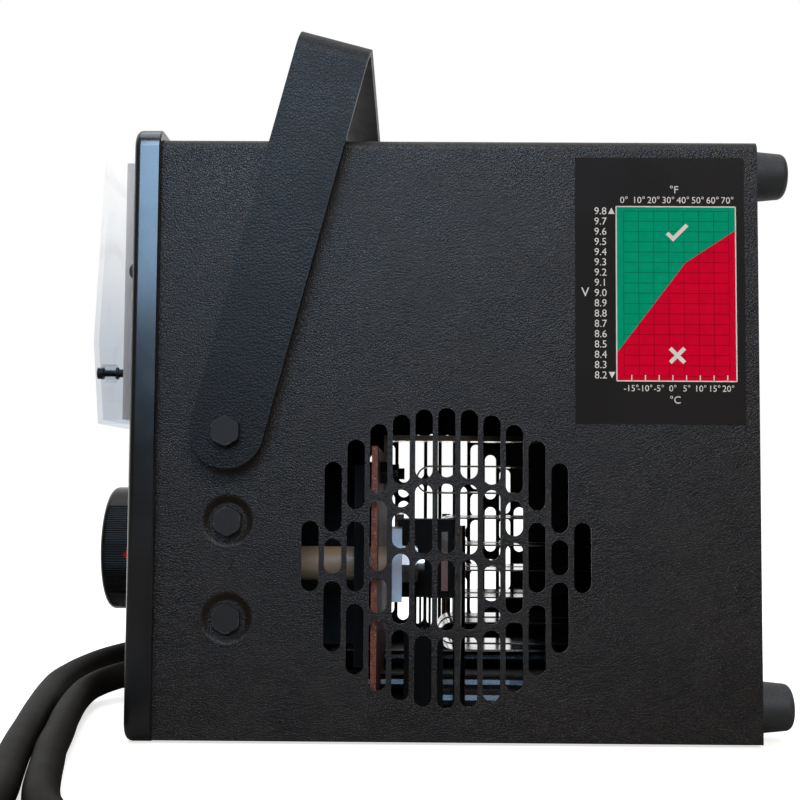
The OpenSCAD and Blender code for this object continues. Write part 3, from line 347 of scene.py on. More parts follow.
def vector_calc(tree, operation, *values):
    """A Vector Math node, for its Vector or Value output."""
    node = add(tree, "ShaderNodeVectorMath", {"operation": operation})
    for socket, value in zip(node.inputs, values):
        put(tree, socket, value)
    return node


def blend(tree, factor, first, second):
    """A colour that goes from the first to the second with the factor."""
    node = add(tree, "ShaderNodeMix", {"data_type": "RGBA"})
    put(tree, node.inputs[0], factor)
    put(tree, node.inputs[6], first)
    put(tree, node.inputs[7], second)
    return node.outputs[2]


def spread(tree, value, low, high, new_low=0.0, new_high=1.0):
    """A value moved from one range to another, smoothly and clamped."""
    node = add(tree, "ShaderNodeMapRange", {"interpolation_type": "SMOOTHSTEP"},
               Value=value, From_Min=low, From_Max=high, To_Min=new_low, To_Max=new_high)
    return node.outputs[0]


def noise(tree, place, scale, detail, roughness=0.5):
    """A noise texture's value, which lies round one half."""
    return add(tree, "ShaderNodeTexNoise", None, Vector=place, Scale=scale, Detail=detail,
               Roughness=roughness).outputs["Fac"]


def seen_rays(tree, path):
    """1 for rays that come from the camera, also through clear pieces, and 0 for others."""
    return calc(tree, "MAXIMUM", path["Is Camera Ray"], path["Is Transmission Ray"])


def mix_shaders(tree, factor, first, second):
    """The output of two shader nodes mixed by a factor."""
    both = add(tree, "ShaderNodeMixShader", None, Fac=factor)
    tree.links.new(first.outputs[0], both.inputs[1])
    tree.links.new(second.outputs[0], both.inputs[2])
    return both.outputs[0]


KINDS = {"colour": "NodeSocketColor", "value": "NodeSocketFloat", "vector": "NodeSocketVector"}


def new_group(name, inputs, outputs):
    """An empty shader node group with named sockets, and its two end nodes."""
    tree = bpy.data.node_groups.new(name, "ShaderNodeTree")
    for label, kind, value in inputs:
        socket = tree.interface.new_socket(label, in_out="INPUT", socket_type=KINDS[kind])
        socket.default_value = value
    for label, kind in outputs:
        tree.interface.new_socket(label, in_out="OUTPUT", socket_type=KINDS[kind])
    return tree, tree.nodes.new("NodeGroupInput"), tree.nodes.new("NodeGroupOutput")


def object_place(tree):
    """Where a point lies on its piece."""
    return add(tree, "ShaderNodeTexCoord").outputs["Object"]


def build_leather_grain():
    """Small domed cells with creases between them, of uneven height; the Mask output marks the
    creases for painted shade and gives the cells a random tone.
    """
    tree, entry, result = new_group(
        "Leather Grain", [("Cell Size", "value", 0.0012), ("Crease", "value", 0.3)],
        [("Height", "value"), ("Mask", "value")])
    place = object_place(tree)
    per_metre = calc(tree, "DIVIDE", 1.0, entry.outputs["Cell Size"])
    bend = add(tree, "ShaderNodeTexNoise", None, Vector=place,
               Scale=calc(tree, "MULTIPLY", per_metre, 0.45), Detail=2.0).outputs["Color"]
    bend = vector_calc(tree, "SCALE", bend)
    bend.inputs["Scale"].default_value = 0.0016
    bent = vector_calc(tree, "ADD", place, bend.outputs[0]).outputs[0]
    edges = add(tree, "ShaderNodeTexVoronoi", {"feature": "DISTANCE_TO_EDGE"},
                Vector=bent, Scale=per_metre).outputs["Distance"]
    domes = add(tree, "ShaderNodeTexVoronoi", None, Vector=bent, Scale=per_metre)
    crease = spread(tree, edges, 0.0, entry.outputs["Crease"], 1.0, 0.0)
    level = add(tree, "ShaderNodeSeparateXYZ", None, Vector=domes.outputs["Color"]).outputs["X"]
    slow = noise(tree, place, calc(tree, "MULTIPLY", per_metre, 0.16), 2.0)
    dark = calc(tree, "MULTIPLY", spread(tree, slow, 0.4, 0.65), 0.35)
    # Painted shade in the creases, with random tone from the cells' levels and the slow patches.
    tone_and_crease_shade = calc(tree, "MULTIPLY_ADD", level, 0.4, calc(tree, "MULTIPLY_ADD", crease, 0.6, dark))
    height = calc(tree, "SUBTRACT", calc(tree, "MULTIPLY", level, 0.35), crease)
    height = calc(tree, "SUBTRACT", height, calc(tree, "MULTIPLY", domes.outputs["Distance"], 0.8))
    tree.links.new(height, result.inputs["Height"])
    tree.links.new(calc(tree, "MULTIPLY", tone_and_crease_shade, 1.0, clamp=True), result.inputs["Mask"])
    return tree


def build_fine_speckle():
    """The pebbled skin of moulded plastic, rubber and powder paint."""
    tree, entry, result = new_group(
        "Fine Speckle", [("Scale", "value", 1500.0), ("Roughen", "value", 0.6)],
        [("Height", "value"), ("Mask", "value")])
    pebbles = noise(tree, object_place(tree), entry.outputs["Scale"], 3.0,
                    entry.outputs["Roughen"])
    tree.links.new(pebbles, result.inputs["Height"])
    tree.links.new(spread(tree, pebbles, 0.56, 0.7), result.inputs["Mask"])
    return tree


def build_brush_lines():
    """Fine parallel lines, drawn out along the axis whose stretch is smallest."""
    tree, entry, result = new_group(
        "Brush Lines", [("Scale", "value", 1800.0), ("Stretch", "vector", (0.03, 1.0, 1.0))],
        [("Height", "value"), ("Mask", "value")])
    place = vector_calc(tree, "MULTIPLY", object_place(tree), entry.outputs["Stretch"]).outputs[0]
    lines = noise(tree, place, entry.outputs["Scale"], 4.0, 0.7)
    tree.links.new(lines, result.inputs["Height"])
    tree.links.new(spread(tree, lines, 0.4, 0.65), result.inputs["Mask"])
    return tree


def build_worn_coat():
    """A finish whose colour drifts a little and is rubbed through along its edges."""
    tree, entry, result = new_group(
        "Worn Coat",
        [("Coat", "colour", (0.02, 0.02, 0.02, 1)),
         ("Second Coat", "colour", (0.03, 0.03, 0.03, 1)),
         ("Under", "colour", (0.3, 0.3, 0.3, 1)), ("Drift Scale", "value", 60.0),
         ("Edge Radius", "value", 0.0006), ("Wear", "value", 0.3)],
        [("Colour", "colour"), ("Bare", "value")])
    place = object_place(tree)
    slow = noise(tree, place, entry.outputs["Drift Scale"], 5.0, 0.6)
    coat = blend(tree, spread(tree, slow, 0.35, 0.65), entry.outputs["Coat"],
                 entry.outputs["Second Coat"])
    rounded = add(tree, "ShaderNodeBevel", {"samples": 4}, Radius=entry.outputs["Edge Radius"])
    flat = add(tree, "ShaderNodeNewGeometry").outputs["Normal"]
    same = vector_calc(tree, "DOT_PRODUCT", rounded.outputs[0], flat).outputs["Value"]
    edge = spread(tree, calc(tree, "SUBTRACT", 1.0, same), 0.02, 0.25)
    rub = noise(tree, place, 420.0, 4.0)
    bare = calc(tree, "MULTIPLY", calc(tree, "MULTIPLY", edge, entry.outputs["Wear"]),
                spread(tree, rub, 0.42, 0.6))
    tree.links.new(blend(tree, bare, coat, entry.outputs["Under"]), result.inputs["Colour"])
    tree.links.new(bare, result.inputs["Bare"])
    return tree


def build_handling():
    """Smudges and light dust that vary the gloss, more dust on faces that look up."""
    tree, entry, result = new_group(
        "Handling", [("Smooth", "value", 0.3), ("Dull", "value", 0.45), ("Dust", "value", 0.1)],
        [("Roughness", "value"), ("Dust", "value")])
    place = object_place(tree)
    smudge = spread(tree, noise(tree, place, 28.0, 6.0, 0.65), 0.35, 0.68)
    gloss = add(tree, "ShaderNodeMapRange", None, Value=smudge,
                To_Min=entry.outputs["Smooth"], To_Max=entry.outputs["Dull"]).outputs[0]
    flat = add(tree, "ShaderNodeNewGeometry").outputs["Normal"]
    up = add(tree, "ShaderNodeSeparateXYZ", None, Vector=flat).outputs["Z"]
    lie = calc(tree, "MULTIPLY_ADD", calc(tree, "MAXIMUM", up, 0.0), 0.85, 0.15)
    grit = noise(tree, place, 900.0, 2.0)
    dust = calc(tree, "MULTIPLY", calc(tree, "MULTIPLY", lie, spread(tree, grit, 0.45, 0.7)),
                entry.outputs["Dust"])
    tree.links.new(gloss, result.inputs["Roughness"])
    tree.links.new(dust, result.inputs["Dust"])
    return tree


GROUP_MAKERS = {
    "Leather Grain": build_leather_grain, "Fine Speckle": build_fine_speckle,
    "Brush Lines": build_brush_lines, "Worn Coat": build_worn_coat, "Handling": build_handling,
}


def place_group(tree, name, values):
    """Places a shared group in a material, with its own values."""
    node = tree.nodes.new("ShaderNodeGroup")
    node.node_tree = bpy.data.node_groups.get(name) or GROUP_MAKERS[name]()
    for key, value in values.items():
        put(tree, node.inputs[key], value)
    return node


def lighter(colour, times):
    """A colour made lighter or darker by a factor."""
    return tuple(min(1.0, c * times) for c in colour)


DUST = (0.16, 0.155, 0.145)


def finish(name, coat, gloss, second=None, under=(0.25, 0.25, 0.25), drift=60.0, edge=0.0006,
           wear=0.2, dust=0.08, metal=0.0, specular=0.5, grain="Fine Speckle", grain_values=None,
           depth=0.00004, strength=0.5, shade=None, shading=0.0):
    """A layered material: drifting colour, worn edges, smudges, dust and a grain in relief.

    Where the grain's Mask output is high, the colour goes towards shade by the share shading; with
    the leather grain this paints shade into the creases.
    """
    if name in bpy.data.materials:
        return bpy.data.materials[name]
    material = bpy.data.materials.new(name)
    material.use_nodes = True
    tree = material.node_tree
    shader = tree.nodes["Principled BSDF"]
    worn = place_group(tree, "Worn Coat", {
        "Coat": coat, "Second Coat": second or lighter(coat, 1.25), "Under": under,
        "Drift Scale": drift, "Edge Radius": edge, "Wear": wear})
    handled = place_group(tree, "Handling", {"Smooth": gloss[0], "Dull": gloss[1], "Dust": dust})
    relief = place_group(tree, grain, grain_values or {})
    colour = worn.outputs["Colour"]
    if shade:
        share = calc(tree, "MULTIPLY", relief.outputs["Mask"], shading)
        colour = blend(tree, share, colour, shade)
    colour = blend(tree, handled.outputs["Dust"], colour, DUST)
    tree.links.new(colour, shader.inputs["Base Color"])
    tree.links.new(handled.outputs["Roughness"], shader.inputs["Roughness"])
    bump = add(tree, "ShaderNodeBump", None, Strength=strength, Distance=depth,
               Height=relief.outputs["Height"])
    tree.links.new(bump.outputs[0], shader.inputs["Normal"])
    shader.inputs["Metallic"].default_value = metal
    shader.inputs["Specular IOR Level"].default_value = specular
    return material


def case_paint():
    s = settings("case")
    # The shade colour gives painted shade in the grain's creases, and random darker cells.
    return finish("Grained Black Paint", lighter(s.paint, 1.5), (0.31, 0.4),
                  second=lighter(s.paint, 1.9), under=(0.09, 0.09, 0.095), drift=35.0,
                  edge=0.0007, wear=0.12, dust=0.03, specular=0.19, grain="Leather Grain",
                  grain_values={"Cell Size": s.grain_size, "Crease": 0.3}, depth=0.00024,
                  strength=0.32, shade=lighter(s.paint, 0.45), shading=0.65)


def strap_paint():
    s = settings("case")
    # The shade colour gives painted shade in the grain's creases, and random darker cells.
    return finish("Strap Paint", lighter(s.strap_paint, 1.4), (0.36, 0.46),
                  second=lighter(s.strap_paint, 1.7), under=(0.1, 0.1, 0.1), drift=25.0,
                  edge=0.0008, wear=0.25, dust=0.03, specular=0.15, grain="Leather Grain",
                  grain_values={"Cell Size": 0.0013, "Crease": 0.25}, depth=0.0002,
                  strength=0.27, shade=lighter(s.strap_paint, 0.4), shading=0.6)


def bezel_moulding():
    s = settings("case")
    return finish("Satin Black Moulding", s.moulding, (0.2, 0.27), drift=20.0, wear=0.08,
                  under=(0.05, 0.05, 0.055), dust=0.02, specular=0.75,
                  grain_values={"Scale": 1500.0, "Roughen": 0.55}, depth=0.00002, strength=0.3)


def panel_paint():
    return finish("Fine Panel Paint", (0.008, 0.008, 0.0085), (0.34, 0.48), drift=30.0, wear=0.15,
                  dust=0.06, specular=0.4, grain_values={"Scale": 2200.0}, depth=0.00003)


def inner_steel():
    return finish("Black Inner Steel", (0.0045, 0.0042, 0.0038), (0.45, 0.6), drift=40.0, wear=0.2,
                  under=(0.2, 0.2, 0.2), dust=0.03, specular=0.08,
                  grain_values={"Scale": 1200.0}, depth=0.00003)


def bolt_black():
    return finish("Black Oxide Bolt", (0.013, 0.0108, 0.009), (0.42, 0.58), drift=160.0,
                  edge=0.001, wear=0.8, under=(0.14, 0.132, 0.122), dust=0.04, specular=0.22,
                  grain_values={"Scale": 1500.0, "Roughen": 0.75}, depth=0.00012,
                  shade=(0.04, 0.037, 0.034), shading=0.5)


def brushed_metal(name, colour, second, gloss, scale, stretch, **more):
    """Plated or bare metal, with fine lines along the axis whose stretch is smallest."""
    return finish(name, colour, gloss, second=second, metal=1.0, grain="Brush Lines",
                  grain_values={"Scale": scale, "Stretch": stretch}, **more)


def zinc_plate():
    return brushed_metal("Zinc Plate", (0.58, 0.59, 0.61), (0.5, 0.51, 0.52), (0.2, 0.36),
                         1500.0, (0.05, 1, 1), under=(0.72, 0.72, 0.72), drift=90.0, wear=0.4,
                         dust=0.06, depth=0.00002, strength=0.4)


def sheet_steel():
    return brushed_metal("Bright Cut Steel", (0.82, 0.84, 0.88), (0.74, 0.76, 0.8), (0.24, 0.4),
                         1100.0, (1, 1, 0.05), drift=120.0, wear=0.3, dust=0.04, depth=0.00002)


def spun_aluminium():
    return brushed_metal("Spun Aluminium", (0.76, 0.77, 0.78), (0.7, 0.7, 0.71), (0.18, 0.26),
                         2600.0, (1, 0.06, 1), drift=200.0, wear=0.1, dust=0.02, depth=0.00001)


def turned_brass():
    return brushed_metal("Turned Brass", (0.62, 0.42, 0.16), (0.55, 0.36, 0.13), (0.2, 0.34),
                         2400.0, (1, 1, 0.08), under=(0.75, 0.55, 0.25), drift=140.0, wear=0.5,
                         dust=0.04, depth=0.00001)


def tinned_copper():
    return brushed_metal("Tinned Copper", (0.72, 0.71, 0.68), (0.66, 0.63, 0.58), (0.12, 0.26),
                         900.0, (0.04, 1, 1), under=(0.7, 0.42, 0.28), drift=70.0, wear=0.5,
                         dust=0.05, depth=0.00002)


def resistance_ribbon():
    return brushed_metal("Resistance Ribbon", (0.72, 0.72, 0.71), (0.62, 0.6, 0.57),
                         (0.06, 0.16), 1300.0, (0.03, 1, 1), under=(0.7, 0.7, 0.7), drift=55.0,
                         wear=0.5, dust=0.04, depth=0.00002)


def carbon_plate():
    return finish("Pressed Carbon", (0.012, 0.012, 0.013), (0.55, 0.75), drift=90.0, wear=0.3,
                  under=(0.05, 0.05, 0.05), dust=0.1, specular=0.3,
                  grain_values={"Scale": 1400.0, "Roughen": 0.75}, depth=0.00008)


def cream_ceramic():
    return finish("Cream Ceramic", (0.52, 0.46, 0.37), (0.42, 0.6), second=(0.6, 0.54, 0.45),
                  under=(0.7, 0.65, 0.57), drift=45.0, wear=0.2, dust=0.12, specular=0.4,
                  grain_values={"Scale": 1000.0, "Roughen": 0.7}, depth=0.00004)


def pressed_fibre():
    return finish("Pressed Fibre", (0.12, 0.032, 0.018), (0.5, 0.7), second=(0.22, 0.06, 0.03),
                  under=(0.42, 0.2, 0.14), drift=700.0, wear=0.4, dust=0.05, specular=0.3,
                  grain_values={"Scale": 1300.0, "Roughen": 0.7}, depth=0.00015, strength=0.8,
                  shade=(0.8, 0.33, 0.22), shading=1.0)


def cable_jacket():
    return finish("Lead Jacket", settings("leads").jacket, (0.54, 0.6), drift=22.0,
                  under=(0.03, 0.028, 0.026), wear=0.04, dust=0.005, specular=0.05,
                  grain="Brush Lines", grain_values={"Scale": 600.0, "Stretch": (1, 1, 1)},
                  depth=0.00003, strength=0.4)


def inner_jacket():
    return finish("Inner Cable Jacket", (0.014, 0.0145, 0.016), (0.2, 0.32), drift=30.0,
                  under=(0.06, 0.06, 0.06), wear=0.1, dust=0.03, specular=0.6,
                  grain_values={"Scale": 700.0}, depth=0.00002, strength=0.4)


def tie_webbing():
    return finish("Black Tie Webbing", (0.016, 0.016, 0.017), (0.7, 0.85), drift=60.0, wear=0.3,
                  under=(0.06, 0.06, 0.06), dust=0.08, specular=0.3, grain="Brush Lines",
                  grain_values={"Scale": 2200.0, "Stretch": (1, 1, 0.3)}, depth=0.0001,
                  strength=0.7)


def foot_rubber():
    return finish("Moulded Rubber", (0.022, 0.023, 0.024), (0.5, 0.66), drift=70.0, wear=0.15,
                  under=(0.08, 0.08, 0.08), dust=0.2, specular=0.4,
                  grain_values={"Scale": 1300.0}, depth=0.00005)


def gloss_knob():
    return finish("Black Knob Moulding", (0.0098, 0.0082, 0.0068), (0.26, 0.36), drift=60.0,
                  edge=0.0004, wear=0.25, under=(0.07, 0.07, 0.07), dust=0.02, specular=0.17,
                  grain_values={"Scale": 1900.0}, depth=0.00002)


def meter_moulding():
    return finish("Beige Meter Moulding", (0.82, 0.8, 0.78), (0.35, 0.5),
                  second=(0.86, 0.84, 0.82), under=(0.85, 0.83, 0.8), drift=40.0, wear=0.2,
                  dust=0.12, specular=0.45,
                  grain_values={"Scale": 1200.0}, depth=0.00003)


def dial_card():
    card = settings("meters").card
    return finish("Dial Card", card, (0.4, 0.5), second=lighter(card, 0.95), under=card,
                  drift=30.0, wear=0.0, dust=0.03, specular=0.35,
                  grain_values={"Scale": 3000.0}, depth=0.00001, strength=0.3)


def ink(name, colour):
    return finish(name, colour, (0.55, 0.7), second=lighter(colour, 0.92), under=colour,
                  drift=260.0, wear=0.0, dust=0.004, specular=0.02,
                  grain_values={"Scale": 3200.0}, depth=0.00001, strength=0.3)


def label_vinyl():
    return finish("Black Label Vinyl", (0.0145, 0.0125, 0.0115), (0.5, 0.62), drift=18.0,
                  wear=0.2, under=(0.2, 0.2, 0.2), edge=0.0003, dust=0.02, specular=0.06,
                  grain_values={"Scale": 900.0}, depth=0.00001, strength=0.35)


def copper_plate():
    return brushed_metal("Copper Plate", (0.6, 0.33, 0.2), (0.5, 0.26, 0.15), (0.24, 0.42),
                         900.0, (0.06, 1, 1), under=(0.55, 0.55, 0.56), drift=50.0, wear=0.6,
                         dust=0.06, depth=0.00002)


def red_moulding():
    return finish("Red Grip Moulding", (0.5, 0.012, 0.012), (0.36, 0.52), second=(0.44, 0.01, 0.01),
                  under=(0.6, 0.1, 0.09), drift=40.0, wear=0.2, dust=0.08,
                  grain_values={"Scale": 900.0}, depth=0.00005)


def black_moulding():
    return finish("Black Grip Moulding", (0.01, 0.01, 0.01), (0.36, 0.52), drift=40.0, wear=0.2,
                  under=(0.08, 0.08, 0.08), dust=0.08, grain_values={"Scale": 900.0},
                  depth=0.00005)


def clear_moulding():
    """Thin clear plastic: mostly see-through, with a mirror share that grows at its edges, a fine
    speckled haze, and painted shade that darkens it towards its bottom.
    """
    name = "Clear Moulding"
    if name in bpy.data.materials:
        return bpy.data.materials[name]
    material = bpy.data.materials.new(name)
    material.use_nodes = True
    tree = material.node_tree
    tree.nodes.remove(tree.nodes["Principled BSDF"])
    handled = place_group(tree, "Handling", {"Smooth": 0.04, "Dull": 0.14, "Dust": 0.0})
    relief = place_group(tree, "Fine Speckle", {"Scale": 60.0, "Roughen": 0.4})
    bump = add(tree, "ShaderNodeBump", None, Strength=0.25, Distance=0.0003,
               Height=relief.outputs["Height"]).outputs[0]
    facing = add(tree, "ShaderNodeLayerWeight", None, Blend=0.35).outputs["Facing"]
    up = add(tree, "ShaderNodeSeparateXYZ", None, Vector=object_place(tree)).outputs["Z"]
    # Painted shade: the tint grows darker from 0.24 m down to 0.15 m high.
    low = spread(tree, up, 0.24, 0.15)
    speckle_haze_and_low_shade = calc(tree, "MULTIPLY_ADD", relief.outputs["Mask"], 0.06, low, clamp=True)
    tint_and_low_shade = blend(tree, speckle_haze_and_low_shade, (1.0, 1.0, 1.0), (0.86, 0.876, 0.897))
    tint_and_low_shade = blend(tree, spread(tree, facing, 0.7, 1.0), tint_and_low_shade, (0.84, 0.87, 0.9))
    clear = add(tree, "ShaderNodeBsdfTransparent", None, Color=tint_and_low_shade)
    mirror = add(tree, "ShaderNodeBsdfGlossy", None, Color=(0.95, 0.97, 1.0),
                 Roughness=handled.outputs["Roughness"], Normal=bump)
    share = add(tree, "ShaderNodeFresnel", None, IOR=1.25, Normal=bump).outputs[0]
    both = mix_shaders(tree, calc(tree, "MULTIPLY", share, 0.15), clear, mirror)
    tree.links.new(both, tree.nodes["Material Output"].inputs[0])
    return material


CAD_FINISHES = {
    "case": (case_paint, ["case_wrap", "base_pan"]),
    "strap": (strap_paint, ["handle_strap", "pivot_spacers"]),
    "bolts": (bolt_black, ["pivot_bolts", "side_bolts", "panel_screws", "base_screws",
                           "meter_cover_screws", "board_bolts"]),
    "feet": (foot_rubber, ["rubber_feet", "cable_bushings"]),
    "panel": (panel_paint, ["front_panel"]),
    "inside": (inner_steel, ["pile_front_plate", "pile_rear_plate", "current_shunt"]),
    "plating": (zinc_plate, ["bolt_nuts", "tie_rods", "tie_rod_nuts", "foot_screws", "load_screw",
                             "pressure_plate", "meter_movements", "clamp_pins", "volt_zero_screw",
                             "amp_zero_screw"]),
    "bright": (sheet_steel, ["clamp_plates"]),
    "spun": (spun_aluminium, ["knob_inlay"]),
    "brass": (turned_brass, ["screw_bushing", "meter_studs"]),
    "strap_bar": (tinned_copper, ["bus_strap"]),
    "ribbons": (resistance_ribbon, ["load_ribbons", "ribbon_posts"]),
    "carbon": (carbon_plate, ["carbon_plates"]),
    "ceramic": (cream_ceramic, ["insulating_tubes"]),
    "fibre": (pressed_fibre, ["fibre_board"]),
    "inner_cables": (inner_jacket, ["inner_cables"]),
    "meter_bodies": (meter_moulding, ["volt_base", "amp_base"]),
    "dials": (dial_card, ["volt_dial", "amp_dial"]),
    "needles": (lambda: ink("Needle Red", (0.5, 0.015, 0.012)), ["volt_needle", "amp_needle"]),
    "black_grips": (black_moulding, ["black_fixed_grip", "black_grip"]),
    "covers": (clear_moulding, ["volt_cover", "amp_cover"]),
    "label": (label_vinyl, ["chart_label"]),
    "clamps": (copper_plate, ["clamp_frames", "red_jaw", "black_jaw"]),
    "red_grips": (red_moulding, ["red_fixed_grip", "red_grip"]),
}


def dress(*groups):
    """Gives the CAD nodes of these groups their finish."""
    for group in groups:
        maker, nodes = CAD_FINISHES[group]
        material = maker()
        for node in nodes:
            mesh = NODES[node].data
            mesh.materials.clear()
            mesh.materials.append(material)
            for polygon in mesh.polygons:
                polygon.material_index = 0


# ---------- printed marks ----------


def plane_at(origin, right, up):
    """The place of a flat print: its X runs right, its Y up and its Z out of the surface."""
    right, up = Vector(right), Vector(up)
    place = Matrix((right, up, right.cross(up))).transposed().to_4x4()
    place.translation = Vector(origin)
    return place


def at_angle(radius, angle):
    """A place on a dial, at an angle measured clockwise from straight up."""
    return (radius * math.sin(angle), radius * math.cos(angle))


INK_SINKS = 0.00003    # how far a print's solids reach into the surface
CAP_SHARE = 0.7        # a figure's height as a share of its font size
BAND_STEPS = 24


class Print:
    """Ink shapes gathered on one plane, as thin raised solids in one mesh."""

    def __init__(self, plane, lift=0.00006):
        self.plane = plane
        self.lift = lift
        self.points = []
        self.faces = []

    def take(self, points, faces):
        """Adds a solid, given in the plane's own axes."""
        start = len(self.points)
        self.points += [self.plane @ Vector(p) for p in points]
        self.faces += [tuple(start + i for i in face) for face in faces]

    def shape(self, outline):
        """A closed outline, given anticlockwise."""
        rings = [[(x, y, h) for x, y in outline] for h in (-INK_SINKS, self.lift)]
        self.take(*loft(rings, caps=True))

    def line(self, a, b, width):
        """A straight stroke from a to b."""
        a, b = Vector(a), Vector(b)
        side = (b - a).orthogonal().normalized() * width / 2
        self.shape([tuple(a - side), tuple(b - side), tuple(b + side), tuple(a + side)][::-1])

    def band(self, inner, outer, start, end):
        """Part of a ring. Angles are measured clockwise from straight up, in radians."""
        angles = [start + (end - start) * i / BAND_STEPS for i in range(BAND_STEPS + 1)]
        arc = [at_angle(outer, a) for a in angles]
        back = [at_angle(inner, a) for a in angles]
        self.shape((arc + back[::-1])[::-1])

    def figures(self, text, x, y, height, align="CENTER"):
        """Plain figures of a given height, placed by their middle or one end."""
        curve = bpy.data.curves.new("figures", "FONT")
        curve.body = text
        curve.size = height / CAP_SHARE
        curve.align_x = align
        curve.align_y = "CENTER"
        curve.resolution_u = 3
        curve.extrude = self.lift / 2
        holder = bpy.data.objects.new("figures", curve)
        bpy.context.scene.collection.objects.link(holder)
        mesh = bpy.data.meshes.new_from_object(holder)
        self.take([(v.co.x + x, v.co.y + y, v.co.z + self.lift / 2) for v in mesh.vertices],
                  [tuple(p.vertices) for p in mesh.polygons])
        bpy.data.objects.remove(holder)
        bpy.data.meshes.remove(mesh)
        bpy.data.curves.remove(curve)

    def piece(self, name, material, slot, body="tester"):
        """The finished print, as one flat-shaded piece."""
        mesh_piece(name, self.points, self.faces, material, body, smooth=False)


# ---------- round and swept pieces ----------


def tube(path, radius, sides):
    """Points and faces of a round bar along a path, with closed ends."""
    rings = []
    side = None
    for i, here in enumerate(path):
        ahead = (path[min(i + 1, len(path) - 1)] - path[max(i - 1, 0)]).normalized()
        if side is None:
            side = ahead.orthogonal().normalized()
        side = (side - ahead * side.dot(ahead)).normalized()
        across = ahead.cross(side)
        rings.append([here + radius * (math.cos(a) * side + math.sin(a) * across)
                      for a in (2 * math.pi * k / sides for k in range(sides))])
    return loft(rings, caps=True)


def lead_curve(name, path):
    """A round curve of one open spline along a path."""
    curve = bpy.data.curves.new(name, "CURVE")
    curve.dimensions = "3D"
    curve.bevel_depth = LEAD_D * mm / 2
    curve.bevel_resolution = settings("leads").sides
    curve.use_fill_caps = True
    spline = curve.splines.new("POLY")
    spline.points.add(len(path) - 1)
    for point, place in zip(spline.points, path):
        point.co = (*place, 1)
    spline.use_smooth = True
    lead = bpy.data.objects.new(name, curve)
    bpy.context.scene.collection.objects.link(lead)
    curve.materials.append(cable_jacket())
    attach(lead, "tester")
    return lead


# ---------- stage ----------


